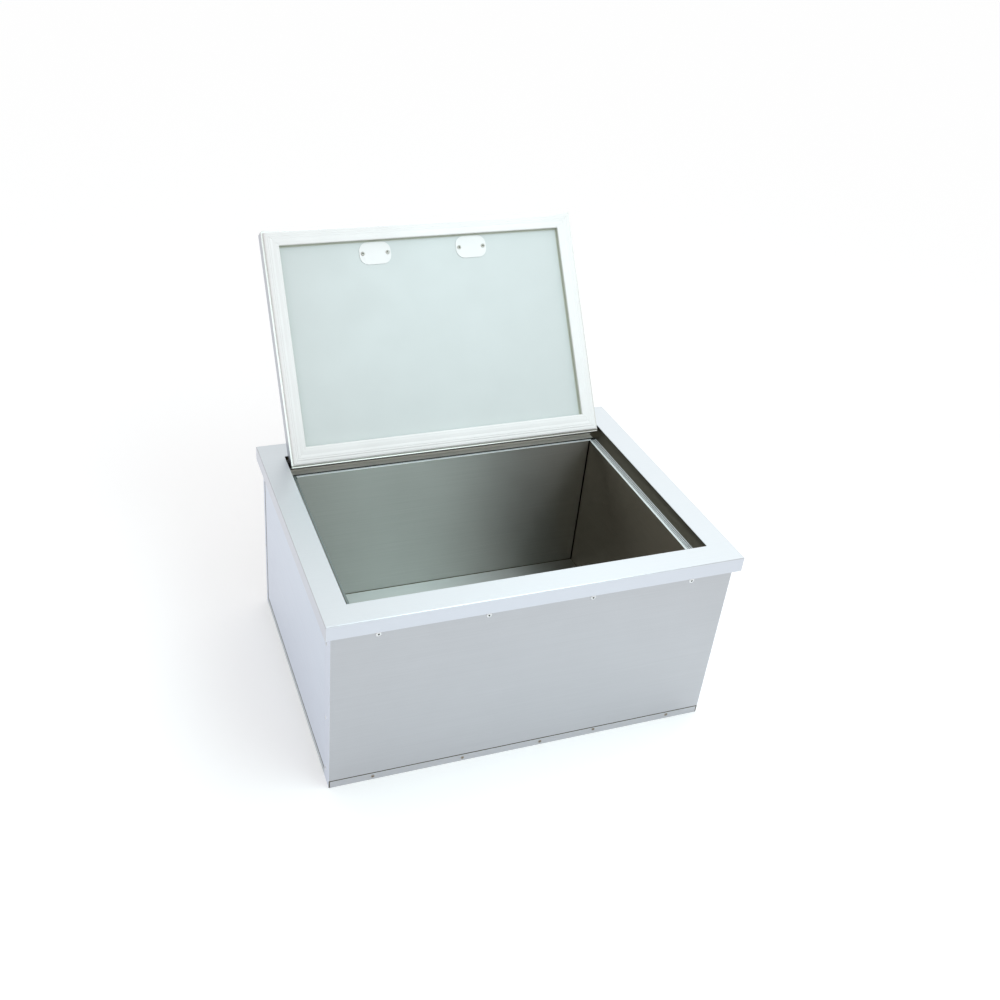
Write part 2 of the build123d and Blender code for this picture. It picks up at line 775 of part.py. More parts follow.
def small_rivet():
    return blind_rivet(small_rivet_radius, small_rivet_head_radius, small_rivet_head_height,
                       small_rivet_dome_radius, small_rivet_tail_radius, small_rivet_tail_length,
                       small_pin_hole_radius)


def end_rivets(side):
    """The large rivets along the front or back, half hidden under the lip."""
    rivet = blind_rivet(rivet_radius, rivet_head_radius, rivet_head_height, rivet_dome_radius,
                        rivet_tail_radius, rivet_tail_length, pin_hole_radius)
    places = [Pos(x, side * body_y, rivet_z) * Rot(-side * 90, 0, 0) for x in rivet_xs]
    return Compound(children=[place * rivet for place in places])


def end_base_rivets(side):
    places = [Pos(x, side * body_y, z) * Rot(-side * 90, 0, 0) for x, z in base_rivets]
    return Compound(children=[place * small_rivet() for place in places])


def side_rivets(side):
    spots = return_spots(side) + side_base_spots(side)
    return Compound(children=[Pos(*spot) * Rot(0, side * 90, 0) * small_rivet() for spot in spots])


def drain_body():
    """Flanged fitting: plug seat above, a narrow neck, and a pipe thread's bore below."""
    flange_low = floor_height + drain_washer_height
    flange_top = flange_low + drain_flange_height
    body = rod_z(drain_tube_radius, 0, drain_y, drain_base_gap, flange_low)
    flange = rod_z(drain_flange_radius, 0, drain_y, flange_low, flange_top)
    rim = flange.edges().filter_by(GeomType.CIRCLE).sort_by(Axis.Z)[-1]
    body += fillet(rim, drain_flange_height / 2)
    body -= rod_z(drain_seat_radius, 0, drain_y, drain_seat_z, flange_top)
    body -= rod_z(drain_neck_radius, 0, drain_y, drain_base_gap, flange_top)
    return body - rod_z(drain_outlet_radius, 0, drain_y, drain_base_gap, drain_base_gap + drain_outlet_length)


def drain_washer():
    low = floor_height
    washer = rod_z(drain_flange_radius - drain_washer_setback, 0, drain_y, low, low + drain_washer_height)
    return washer - rod_z(drain_tube_radius + drain_fit, 0, drain_y, low, low + drain_washer_height)


def drain_nut():
    """Locknut under the tub's floor, in the foam's pocket."""
    hexagon = extrude(RegularPolygon(drain_nut_flats / 2, 6, major_radius=False), drain_nut_height)
    nut = Pos(0, drain_y, foam_floor - drain_nut_height) * hexagon
    return nut - rod_z(drain_tube_radius + pin_fit, 0, drain_y, foam_floor - drain_nut_height, foam_floor)


def drain_strainer():
    low = drain_seat_z
    disc = rod_z(drain_seat_radius - drain_fit, 0, drain_y, low, low + strainer_sheet)
    for ring_radius, count in strainer_hole_rings:
        for i in range(count):
            angle = 2 * math.pi * i / count
            x = ring_radius * math.cos(angle)
            y = drain_y + ring_radius * math.sin(angle)
            disc -= rod_z(strainer_hole_radius, x, y, low, low + strainer_sheet)
    return disc


def drain_plug():
    """Tapered rubber plug with a brim and a knob to lift it by."""
    low = drain_seat_z + strainer_sheet + drain_fit
    brim_low = floor_height + drain_washer_height + drain_flange_height + drain_fit
    brim_top = brim_low + plug_brim_height
    knob_top = brim_top + plug_knob_height
    big = drain_seat_radius - drain_fit
    outline = [(0, low), (big - plug_taper, low), (big, brim_low), (plug_brim_radius, brim_low),
               (plug_brim_radius, brim_top - plug_edge), (plug_brim_radius - plug_edge, brim_top),
               (plug_neck_radius, brim_top), (plug_neck_radius, (brim_top + knob_top) / 2),
               (plug_knob_radius, knob_top - 2 * plug_edge), (plug_knob_radius - plug_edge, knob_top),
               (0, knob_top)]
    face = Plane.XZ * make_face(Polyline(*outline, close=True))
    return Pos(0, drain_y, 0) * revolve(face, Axis.Z)


write("top_frame", top_frame())
write("front_panel", end_panel(-1, front_return))
write("back_panel", end_panel(1, back_return))
write_pair("side_panel", side_panel())
write("bottom_pan", bottom_pan())
write("front_rail", rail(-1))
write("back_rail", rail(1))
write("tub_front_wall", tub_end_wall(-1, tub_front))
write("tub_back_wall", tub_end_wall(1, tub_back))
write_pair("tub_side_wall", tub_side_wall())
write("tub_floor", tub_floor())
write("foam_bottom", foam_bottom())
write("foam_front", foam_end(-1, tub_front - tub_sheet))
write("foam_back", foam_end(1, tub_back + tub_sheet))
write_pair("foam_side", foam_side())
write("strip_front", end_strip(-1, tub_front, strip_section(ledge_front)))
write("strip_back", end_strip(1, tub_back, back_section()))
write_pair("strip_side", side_strip())
write_pair("hinge_doubler", hinge_doubler())
write_pair("hinge_pin", hinge_pin())
write_pair("hinge_bush", hinge_bush())
write("front_rivets", end_rivets(-1))
write("back_rivets", end_rivets(1))
write("front_base_rivets", end_base_rivets(-1))
write("back_base_rivets", end_base_rivets(1))
write("side_rivets_left", side_rivets(-1))
write("side_rivets_right", side_rivets(1))
write("drain_body", drain_body())
write("drain_washer", drain_washer())
write("drain_nut", drain_nut())
write("drain_strainer", drain_strainer())
write("drain_plug", drain_plug())
write_open("lid_skin", lid_skin())
write_open("lid_liner", lid_liner())
write_open("lid_foam", lid_foam())
for side in ("front", "back", "left"):
    write_open("gasket_" + side, gasket(side))
write_open("gasket_right", mirror_x(gasket("left")))
write_open_pair("lid_hinge_plate", lid_hinge_plate())
write_open("handle_bar", handle_bar())
write_open_pair("handle_post", handle_post())
write_open("handle_washers", handle_washers())
write_open("handle_bolts", handle_bolts())
write_open_pair("cover_plate", cover_plate())
write_open("cover_screws", cover_screws())

print("lid opens", round(open_angle, 3), "degrees about y", hinge_y, "z", hinge_z)
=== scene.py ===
# %% [markdown]
# # A drop-in ice chest
# A stainless box hangs in a counter by its wide folded flange. It has a brushed tub inside, foam between
# the two skins, and a gasketed lid that leans open on two pins. The solid parts come measured from the
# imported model. This lesson gives them their finishes, and makes by rule the small parts that repeat.

# %% Load the frame
import json
import math

import bmesh
import bpy
from mathutils import Matrix, Vector


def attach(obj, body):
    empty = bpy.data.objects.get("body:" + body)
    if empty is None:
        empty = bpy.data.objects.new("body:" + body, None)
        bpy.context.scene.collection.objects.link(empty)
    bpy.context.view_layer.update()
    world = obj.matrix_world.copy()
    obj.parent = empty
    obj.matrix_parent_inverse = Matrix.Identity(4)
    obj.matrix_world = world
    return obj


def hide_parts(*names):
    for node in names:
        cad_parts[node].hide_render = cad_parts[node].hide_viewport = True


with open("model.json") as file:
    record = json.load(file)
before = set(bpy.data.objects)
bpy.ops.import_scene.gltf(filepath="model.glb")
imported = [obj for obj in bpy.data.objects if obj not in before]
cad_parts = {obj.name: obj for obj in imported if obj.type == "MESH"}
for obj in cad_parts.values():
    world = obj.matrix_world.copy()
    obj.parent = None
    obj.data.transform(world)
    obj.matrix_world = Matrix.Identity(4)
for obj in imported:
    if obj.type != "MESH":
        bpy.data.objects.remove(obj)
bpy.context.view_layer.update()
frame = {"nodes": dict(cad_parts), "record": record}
chest = frame["nodes"]
mm = 0.001

# %% [markdown]
# ## The camera
# The picture is taken from the left, in front and above. A camera could be aimed with a Track To
# constraint, but here its three axes are known, so they are written straight into its matrix: Blender's
# camera looks along its own -Z, with +X to the right. The shift places the chest left of the middle.

# %% Camera
# The picture's side, the focal length and the point straight ahead of the lens, all in pixels.
picture_side = 1000
focal_pixels = 1080.74
centre_x, centre_y = 409.58, 492.96
camera_data = bpy.data.cameras.new("studio_camera")
camera_data.sensor_width = 36.0
camera_data.lens = focal_pixels / picture_side * camera_data.sensor_width
camera_data.shift_x = 0.5 - centre_x / picture_side
camera_data.shift_y = centre_y / picture_side - 0.5
camera_data.clip_end = 100.0
camera = bpy.data.objects.new("studio_camera", camera_data)
bpy.context.scene.collection.objects.link(camera)
right = Vector((0.95196, -0.30257, 0.04708)).normalized()
forward = Vector((0.27825, 0.79058, -0.54549)).normalized()
up = right.cross(forward)
turned = Matrix((right, up, -forward)).transposed().to_4x4()
camera.matrix_world = Matrix.Translation((-0.6300, -1.3999, 1.3420)) @ turned
bpy.context.scene.camera = camera
print("camera lens", round(camera_data.lens, 2), "mm, looking", [round(v, 3) for v in forward])

# %% [markdown]
# ## Colours and nodes
# Colours are written as sRGB hex, as a paint chart gives them, and one function turns them to the linear
# values that Blender renders with. A second function adds a node, sets its values and joins its inputs.
# Every node here is made by it, in materials and in Geometry Nodes alike. Keys with a capital letter or a
# number are sockets, the others are the node's own options. A number is used where a node has several
# sockets of one name: in a mix of colours, 0 is the factor, and 6 and 7 are the two colours.

# %% Helpers for colours and nodes
def srgb(text):
    """A hex colour such as #C0C4C8 as linear RGBA."""
    parts = [int(text[i:i + 2], 16) / 255 for i in (1, 3, 5)]
    return [v / 12.92 if v <= 0.04045 else ((v + 0.055) / 1.055) ** 2.4 for v in parts] + [1.0]


def add_node(tree, kind, settings=None, links=None):
    """Adds one node with its settings and the sockets that feed it."""
    node = tree.nodes.new(kind)
    for key, value in (settings or {}).items():
        if isinstance(key, int) or key[0].isupper():
            node.inputs[key].default_value = value
        else:
            setattr(node, key, value)
    for key, source in (links or {}).items():
        tree.links.new(source, node.inputs[key])
    return node


print("white is", [round(v, 3) for v in srgb("#FFFFFF")])

# %% [markdown]
# ## The tent
# Polished metal shows whatever stands around it, so it is pictured in a white tent. The world is that
# tent: white all round, a little dimmer straight behind the chest, where two cloths of the tent meet, and
# a little brighter behind it on the right, high up. A picture of a real studio could do the same, but two
# soft patches are easier to read and to change. Two small softboxes hang close above the opening, so that
# their light in the tub ends with a clear edge. The camera doesn't see them.

# %% World and softboxes
world = bpy.data.worlds.new("white_tent")
bpy.context.scene.world = world
world.use_nodes = True
tree = world.node_tree
tree.nodes.clear()
tent_level = 0.80
# Each patch has a direction, the cosine at which it fades out, and the change of level in its middle.
tent_patches = (((0.05, 0.89, 0.45), 0.92, -0.34), ((0.45, 0.60, 0.66), 0.55, 0.34))
direction = add_node(tree, "ShaderNodeTexCoord").outputs["Generated"]
level = add_node(tree, "ShaderNodeMath", {"operation": "ADD", 0: tent_level, 1: 0.0}).outputs[0]
for aim, faded, change in tent_patches:
    near = add_node(tree, "ShaderNodeVectorMath", {"operation": "DOT_PRODUCT", 1: aim}, {0: direction})
    patch = add_node(tree, "ShaderNodeMapRange", {"interpolation_type": "SMOOTHSTEP", "From Min": faded,
                                                  "From Max": 1.0, "To Min": 0.0, "To Max": change},
                     {"Value": near.outputs["Value"]})
    level = add_node(tree, "ShaderNodeMath", {"operation": "ADD"}, {0: patch.outputs[0], 1: level}).outputs[0]
tent = add_node(tree, "ShaderNodeBackground", {"Color": srgb("#FFFFFF")}, {"Strength": level})
add_node(tree, "ShaderNodeOutputWorld", links={"Surface": tent.outputs["Background"]})

# Each softbox has a name, a place and a size in metres, and its power in watts. Both face the tub.
tub_middle = Vector((0.0, 0.0, 0.2))
softboxes = (("key_softbox", (0.17, -0.62, 1.05), (0.62, 0.7), 2.8),
             ("top_softbox", (0.26, -0.17, 1.30), (0.62, 0.5), 3.2))
for name, place, size, watts in softboxes:
    lamp_data = bpy.data.lights.new(name, "AREA")
    lamp_data.shape, lamp_data.size, lamp_data.size_y, lamp_data.energy = "RECTANGLE", *size, watts
    lamp_data.color = srgb("#DFFBFF")[:3]
    lamp = bpy.data.objects.new(name, lamp_data)
    lamp.location = place
    lamp.visible_camera = False
    lamp.rotation_euler = (tub_middle - lamp.location).to_track_quat("-Z", "Y").to_euler()
    bpy.context.scene.collection.objects.link(lamp)
bpy.context.scene.view_settings.view_transform = "Standard"
print("tent at", tent_level, "and", len(softboxes), "softboxes")

# %% [markdown]
# ## How a material starts
# Every material starts with the object's own places and directions. The lid is measured open, so on its
# parts both are turned back about the hinge. Its finishes are then written for the closed lid, where the
# sheets lie level and the sizes are easy to read. A second object laid over the closed lid could give the
# same coordinates, but the exported model would lose it.

# %% Helper for materials
hinge = Vector((0.0, 0.1974, 0.3385))
open_turn = math.radians(-124.534)


def start_material(name, swung_open=False):
    """An empty material, and the object's own places and directions, on the lid as if it were closed."""
    material = bpy.data.materials.new(name)
    material.use_nodes = True
    tree = material.node_tree
    tree.nodes.clear()
    own = add_node(tree, "ShaderNodeTexCoord")
    turn = -open_turn if swung_open else 0.0
    shift = hinge - Matrix.Rotation(turn, 3, "X") @ hinge
    place = add_node(tree, "ShaderNodeMapping", {"Rotation": (turn, 0.0, 0.0), "Location": shift},
                     {"Vector": own.outputs["Object"]})
    normal = add_node(tree, "ShaderNodeMapping", {"Rotation": (turn, 0.0, 0.0)},
                      {"Vector": own.outputs["Normal"]})
    return material, tree, place.outputs[0], normal.outputs[0]


print("the lid is open by", round(math.degrees(-open_turn), 1), "degrees")

# %% [markdown]
# ## The floor
# The floor is a white sheet that still takes the chest's shadow. Stronger lamps would turn it pure white,
# but they would light the chest as well. So it adds a little light of its own, only for rays from the
# camera and for mirrored and refracted rays. It then reads as white, in the picture and in the metal, and
# no more light falls on the chest.

# %% Floor
half_width = 40.0
floor_glow = 0.20
floor_mesh = bpy.data.meshes.new("floor_sheet")
floor_mesh.from_pydata([(x * half_width, y * half_width, 0)
                        for x, y in ((-1, -1), (1, -1), (1, 1), (-1, 1))], [], [(0, 1, 2, 3)])
floor = bpy.data.objects.new("floor_sheet", floor_mesh)
bpy.context.scene.collection.objects.link(floor)
# Uncoated white paper: it has no shine at all, so the shadow under the chest stays soft and even.
paper, tree = start_material("white_paper_floor")[:2]
path = add_node(tree, "ShaderNodeLightPath")
seen = add_node(tree, "ShaderNodeMath", {"operation": "MAXIMUM"},
                {0: path.outputs["Is Camera Ray"], 1: path.outputs["Is Glossy Ray"]})
seen = add_node(tree, "ShaderNodeMath", {"operation": "MAXIMUM"},
                {0: seen.outputs[0], 1: path.outputs["Is Transmission Ray"]})
glow = add_node(tree, "ShaderNodeMath", {"operation": "MULTIPLY", 1: floor_glow}, {0: seen.outputs[0]})
shader = add_node(tree, "ShaderNodeBsdfPrincipled",
                  {"Base Color": srgb("#F4F4F4"), "Roughness": 0.9, "Specular IOR Level": 0.0,
                   "Emission Color": srgb("#FFFFFF")}, {"Emission Strength": glow.outputs[0]})
add_node(tree, "ShaderNodeOutputMaterial", links={"Surface": shader.outputs["BSDF"]})
floor_mesh.materials.append(paper)
print("floor sheet", 2 * half_width, "m wide")

# %% [markdown]
# ## Patterns in real sizes
# A finish is read from small changes of tone, gloss and height. Each pattern here is a soft noise whose
# grains have a size in millimetres, read from the object's own coordinates, so that it stays put when
# the part moves. A mask finds a part of a sheet by its place: it counts along how many axes a point lies
# outside a box. Times a gain and plus a shift, that one count paints all that is outside the box, all
# that is inside it, or only the edges where two of its sides meet, which is where seams lie.

# %% Pattern helpers
def pattern(tree, place, sizes_mm, detail=2.0, offset=0.0):
    """Soft noise whose grains measure sizes_mm along X, Y and Z."""
    scaled = add_node(tree, "ShaderNodeMapping", {"Scale": [1 / (s * mm) for s in sizes_mm],
                                                  "Location": (offset, offset, offset)}, {"Vector": place})
    return add_node(tree, "ShaderNodeTexNoise", {"Scale": 1.0, "Detail": detail, "Roughness": 0.55},
                    {"Vector": scaled.outputs["Vector"]}).outputs["Fac"]


def axes_outside(tree, place, low_mm, high_mm, soft_mm=0.3):
    """Along how many of the three axes a point lies outside a box, with a soft edge."""
    centre = [(a + b) / 2 * mm for a, b in zip(low_mm, high_mm)]
    reach = [(b - a) / 2 * mm for a, b in zip(low_mm, high_mm)]
    away = add_node(tree, "ShaderNodeVectorMath", {"operation": "SUBTRACT", 1: centre}, {0: place})
    away = add_node(tree, "ShaderNodeVectorMath", {"operation": "ABSOLUTE"}, {0: away.outputs[0]})
    away = add_node(tree, "ShaderNodeVectorMath", {"operation": "SUBTRACT", 1: reach}, {0: away.outputs[0]})
    # A vector Map Range takes its value at 6, the range before at 7 and 8 and the range after at 9 and 10.
    away = add_node(tree, "ShaderNodeMapRange", {"data_type": "FLOAT_VECTOR", 7: (0, 0, 0),
                                                 8: (soft_mm * mm,) * 3, 9: (0, 0, 0), 10: (1, 1, 1)},
                    {6: away.outputs[0]})
    return add_node(tree, "ShaderNodeVectorMath", {"operation": "DOT_PRODUCT", 1: (1, 1, 1)},
                    {0: away.outputs[1]}).outputs["Value"]


# Nearly all of a noise lies in this spread, which is stretched to what each socket needs.
noise_spread = {"From Min": 0.3, "From Max": 0.7}
# The three rules, each as a gain and a shift of the count.
outside, inside, at_edges = (1.0, 0.0), (-1.0, 1.0), (1.0, -1.0)


def masked(tree, place, tone, places):
    """Repaints parts of a surface, each given as a box, its soft edge in mm, a rule and a colour."""
    for low, high, soft, (gain, shift), colour in places:
        count = axes_outside(tree, place, low, high, soft)
        mask = add_node(tree, "ShaderNodeMath", {"operation": "MULTIPLY_ADD", "use_clamp": True,
                                                 1: gain, 2: shift}, {0: count})
        tone = add_node(tree, "ShaderNodeMix", {"data_type": "RGBA", 7: srgb(colour)},
                        {0: mask.outputs[0], 6: tone}).outputs[2]
    return tone


print("patterns are sized in mm, 1 m =", round(1 / mm), "mm")

# %% [markdown]
# ## Brushed stainless sheet
# The chest is folded from 304 stainless sheet with a number 4 finish: an abrasive belt leaves fine
# parallel scratches along the sheet. They spread a reflection across the grain, which gives the metal its
# silky look and the tub its soft bright and dark fields. A picture of the grain would have to be laid out
# on every sheet. Noise that is stretched along the scratches needs no layout, and the grain turns by
# itself with the way that a face lies.

# %% The grain of brushed sheet
def grain(tree, place, normal, wide, long):
    """Scratches along X, on walls and on level sheets alike, and along Y on the end faces."""
    parts = add_node(tree, "ShaderNodeSeparateXYZ", links={"Vector": normal})
    level_face = add_node(tree, "ShaderNodeMath", {"operation": "ABSOLUTE"}, {0: parts.outputs["Z"]})
    on_walls = pattern(tree, place, (long, long, wide), detail=3.0)
    on_level = pattern(tree, place, (long, wide, long), detail=3.0)
    mixed = add_node(tree, "ShaderNodeMix", {}, {0: level_face.outputs[0], 2: on_walls, 3: on_level})
    return mixed.outputs[0]


# The real grain is about 0.1 mm wide, too fine for the picture, so it is drawn eight times as coarse.
grain_wide_mm, grain_long_mm = 0.8, 150.0
print("the grain is", grain_wide_mm, "mm wide and about", grain_long_mm, "mm long")

# %% [markdown]
# ## The finish on the grain
# The scratches change the tone, the gloss and the height a little. Larger clouds of tone and faint wiping
# marks lie over them, as on any sheet that is handled. Inside the tub, the shader's own anisotropy spreads
# the reflections up and down, across the grain. The scratches alone could do it, but only if they were
# drawn as fine as they are. The metal keeps its default index of refraction.

# %% Helper for brushed sheet
def brushed_sheet(name, colour, dull_colour, roughness, spread=0.0, swung_open=False, places=(),
                  matt=None):
    """Metal a little darker and rougher where the belt dug in. Outside a matt box, it is nearly paint."""
    material, tree, place, normal = start_material(name, swung_open)
    scratch = grain(tree, place, normal, grain_wide_mm, grain_long_mm)
    clouds = pattern(tree, place, (140.0, 140.0, 140.0), detail=3.0, offset=3.7)
    smears = pattern(tree, place, (34.0, 52.0, 40.0), detail=4.0, offset=8.1)
    dug_in = add_node(tree, "ShaderNodeMapRange", noise_spread, {"Value": scratch})
    dulled = add_node(tree, "ShaderNodeMapRange", {**noise_spread, "To Max": 0.45}, {"Value": clouds})
    tone = add_node(tree, "ShaderNodeMix", {"data_type": "RGBA", 6: srgb(colour), 7: srgb(dull_colour)},
                    {0: dug_in.outputs[0]}).outputs[2]
    tone = add_node(tree, "ShaderNodeMix", {"data_type": "RGBA", 7: srgb(dull_colour)},
                    {0: dulled.outputs[0], 6: tone}).outputs[2]
    tone = masked(tree, place, tone, places)
    belt = add_node(tree, "ShaderNodeMapRange", {**noise_spread, "To Min": roughness - 0.02,
                                                 "To Max": roughness + 0.03}, {"Value": scratch})
    wiped = add_node(tree, "ShaderNodeMapRange", {**noise_spread, "To Max": 0.03}, {"Value": smears})
    rough = add_node(tree, "ShaderNodeMath", {"operation": "ADD"}, {0: belt.outputs[0],
                                                                    1: wiped.outputs[0]})
    bump = add_node(tree, "ShaderNodeBump", {"Strength": 0.25, "Distance": 0.02 * mm}, {"Height": scratch})
    links = {"Base Color": tone, "Roughness": rough.outputs[0], "Normal": bump.outputs[0]}
    if spread:
        # Nearly straight up, with a hair of Y, so that level faces have a direction across the grain too.
        across = add_node(tree, "ShaderNodeCombineXYZ", {"X": 0.0, "Y": 0.02, "Z": 1.0})
        links["Tangent"] = across.outputs[0]
    if matt:
        count = axes_outside(tree, place, *matt)
        metal = add_node(tree, "ShaderNodeMapRange", {"To Min": 1.0, "To Max": 0.25}, {"Value": count})
        links["Metallic"] = metal.outputs[0]
    shader = add_node(tree, "ShaderNodeBsdfPrincipled", {"Metallic": 1.0, "Anisotropic": spread}, links)
    add_node(tree, "ShaderNodeOutputMaterial", links={"Surface": shader.outputs["BSDF"]})
    return material


print("materials so far:", len(bpy.data.materials))

# %% [markdown]
# ## The flange
# All the sheets are one steel, each finished on its own, and some of their tones are painted light and
# painted shade. The flange is the bright cover sheet. Its lip, which faces sideways, is painted a shade
# darker than its top, and the skirt inside the opening is painted dark brown, both as painted shade. An
# edge that is narrower than a pixel of the picture shows only as a lighter or a darker line. It could be
# cut finely into the mesh, but the mesh is the measured one, so such edges are painted by place.

# %% Finish of the flange
far = 5000.0
# Painted shade: the lip, which faces sideways, is painted darker than the flange's top.
lip_shade = ((-far, -far, 341.6), (far, far, far), 0.4, outside, "#CFD2DA")
# Painted shade: the skirt inside the opening is painted dark brown.
skirt_shade = ((-302.0, -215.0, 0.0), (302.0, 215.0, 341.8), 0.3, inside, "#787061")
# Painted shade: a line along the outer fold, a little darker than the top.
fold_shade = ((-341.4, -255.9, 0.0), (341.4, 255.9, 341.6), 0.6, at_edges, "#C9CBD0")
# Freshly brushed 304: the palest of the sheets, it catches the tent's white like silk.
flange_steel = brushed_sheet("stainless_304_flange", "#E4EAEE", "#E0E7EB", 0.34,
                             places=(lip_shade, skirt_shade, fold_shade))
print("finish:", flange_steel.name)

# %% [markdown]
# ## The box
# The front and back sheets wrap round the corners with narrow returns, the side sheets lap behind them,
# and the pan's upturned edge closes the bottom. The laps stay open by a millimetre or so. Light that goes
# into such a slit doesn't come back, but at this distance the open slit alone would be lost between two
# pixels. So painted shade lines its edges too: nearly black at the sides, brown along the front and back,
# and a dark band on the pan's top edge.

# %% Finishes of the box
# Painted light: the front sheet's returns, which face sideways, are painted lighter and bluer, like the
# sides.
returns_painted_light = ((-332.6, -far, 0.0), (332.6, far, far), 0.2, outside, "#D8DDE8")
# Painted shade: a brown line along the lowest edge of the front and back sheets, by the slit.
front_seam_shade = ((-far, -246.9, 15.6), (far, 246.9, far), 0.4, at_edges, "#5A5345")
# Painted shade: a dark band along the pan's top edge, under the slit.
pan_top_shade = ((-far, -far, 0.0), (far, far, 13.2), 0.4, outside, "#6A6354")
# Painted light: the pan's ends, which face sideways, are painted lighter, like the sides.
pan_side = ((-332.3, -far, 0.0), (332.3, far, 12.6), 0.3, outside, "#C6CCD0")
# Painted shade: a nearly black band along the sides' lowest and back edges, by the slits.
side_seam_shade = ((-far, -far, 17.4), (far, 231.0, far), 0.3, outside, "#0C0C0E")
# Plain brushed 304: a calm middle grey with a soft sheen that fades down the sheet.
front_steel = brushed_sheet("stainless_304_front_and_back", "#BFC0C4", "#BBBCC0", 0.42,
                            places=(returns_painted_light, front_seam_shade))
# The same steel in the pan, which shows only as a narrow band under the seam.
pan_steel = brushed_sheet("stainless_304_pan", "#C1C2C6", "#BDBEC2", 0.42, places=(pan_side, pan_top_shade))
# The same steel, painted lighter and bluer than the front, as painted light: it tells the sides from the
# front at the corner.
side_steel = brushed_sheet("stainless_304_sides", "#DBE1EC", "#D5DBE6", 0.42, places=(side_seam_shade,))
print("finishes:", front_steel.name, pan_steel.name, side_steel.name)

# %% [markdown]
# ## The lid's skin
# The skin is a shallow pan. Its rim is painted light, and at the hinge side, the rim under the gasket is
# painted as a dark band of painted shade with a painted highlight on its edge. One steel with places for
# these saves two more materials, and keeps the grain running through.

# %% Finish of the lid
# Painted light: the rim's return is painted light, so that no shaded line shows beside the gasket.
lid_rim_painted_light = ((-far, -far, 323.0), (far, far, far), 0.8, outside, "#D9D8D4")
# Painted shade: a dark band on the rim at the hinge side, under the gasket.
lid_heel = ((-far, -far, 323.2), (far, 205.0, far), 0.3, at_edges, "#77756E")
# Painted highlight: a pale line on the edge of that band.
heel_edge_highlight = ((-far, -far, 323.2), (far, 207.3, far), 0.3, at_edges, "#DEDCD6")
# Brushed 304, a little smoother than the box, so that the closed lid shines softly from above.
lid_steel = brushed_sheet("stainless_304_lid", "#BFC1C8", "#B9BCC3", 0.38, swung_open=True,
                          places=(lid_rim_painted_light, lid_heel, heel_edge_highlight))
print("finish:", lid_steel.name)

# %% [markdown]
# ## The tub
# The tub's sheets meet in open corners, which are painted with a dark line of painted shade, and a
# thinner brown line of painted shade runs round the floor. The rims are painted nearly white, as a painted
# highlight, all but the left one, which lies in the flange's shade and is painted darker. A brighter metal
# would only mirror the brown skirt there, so the rim is made nearly matt and gets its tone as paint does.

# %% Finishes of the tub
# Painted shade: a nearly black line in each upright corner of the tub.
tub_corner_shade = ((-284.0, -197.6, -far), (284.0, 181.4, far), 0.5, at_edges, "#12110D")
# Painted shade: a thinner brown line round the floor, where it meets the walls.
floor_seam_shade = ((-284.6, -197.6, 35.0), (284.6, 182.2, far), 0.5, at_edges, "#66624F")
# Painted highlight: the rims are painted nearly white.
tub_rim_highlight = ((-far, -far, 0.0), (far, far, 314.3), 0.2, outside, "#F4F8F8")
# Painted shade: the left rim, in the flange's shade, is painted darker.
left_rim_shade = ((-285.0, -far, 0.0), (far, far, 314.3), 0.2, at_edges, "#7F8784")
rim_is_matt = ((-far, -far, 0.0), (far, far, 314.3), 0.2)
# Brushed 304 three times: neutral long walls, end walls painted darker and warmer, as painted shade for
# the dull light that they face, and a floor painted lighter, as painted light.
tub_steel, tub_end_steel_shaded, tub_floor_steel_lit = (
    brushed_sheet("stainless_304_tub_" + use, colour, dull, 0.38, spread=1.0,
                  places=(floor_seam_shade, tub_corner_shade, tub_rim_highlight, left_rim_shade), matt=rim_is_matt)
    for use, colour, dull in (("walls", "#B7B8B3", "#ADAEA9"), ("ends", "#948A7C", "#8B8274"),
                              ("floor", "#C6C6C3", "#BCBCB9")))
print("sheet finishes:", [m.name for m in bpy.data.materials if m.name.startswith("stainless")])

# %% [markdown]
# ## Moulded and coated surfaces
# Plastics and rubber get their colour from pigment all through, so what the eye reads is their surface:
# the fine texture that the mould or the die left, and a slow drift of tone and gloss. Each could have a
# tree of its own, but plated and coated metals need the same three things, so one function makes them
# all.

# %% Helper for moulded and coated surfaces
def moulded(name, colours, roughness, texture_mm, depth_mm, gloss_change=0.08, metallic=0.0,
            swung_open=False, places=()):
    """A surface with a fine even texture and a slow drift between two colours."""
    material, tree, place = start_material(name, swung_open)[:3]
    fine = pattern(tree, place, (texture_mm,) * 3, detail=2.0)
    slow = pattern(tree, place, (70.0, 70.0, 70.0), detail=3.0, offset=5.2)
    drift = add_node(tree, "ShaderNodeMapRange", noise_spread, {"Value": slow})
    first, second = colours
    tone = add_node(tree, "ShaderNodeMix", {"data_type": "RGBA", 6: srgb(first), 7: srgb(second)},
                    {0: drift.outputs[0]}).outputs[2]
    tone = masked(tree, place, tone, places)
    rough = add_node(tree, "ShaderNodeMapRange",
                     {**noise_spread, "To Min": roughness - gloss_change / 2,
                      "To Max": roughness + gloss_change / 2}, {"Value": slow})
    bump = add_node(tree, "ShaderNodeBump", {"Strength": 0.5, "Distance": depth_mm * mm}, {"Height": fine})
    shader = add_node(tree, "ShaderNodeBsdfPrincipled", {"Metallic": metallic},
                      {"Base Color": tone, "Roughness": rough.outputs[0], "Normal": bump.outputs[0]})
    add_node(tree, "ShaderNodeOutputMaterial", links={"Surface": shader.outputs["BSDF"]})
    return material


print("materials so far:", len(bpy.data.materials))

# %% [markdown]
# ## White and grey plastics
# The lid's inner side is all pale: liner, gasket and covers differ by a few tones only. What parts them
# for the eye are their shaded inner walls and edges, so those are painted by place. The places lie on the
# closed lid.

# %% Finishes of the lid's inside and the strips
# Painted shade: the gasket's inner wall is painted a darker taupe grey.
gasket_wall_shade = ((-266.3, -180.8, 317.6), (266.3, 174.8, 325.0), 0.3, inside, "#C5C8BB")
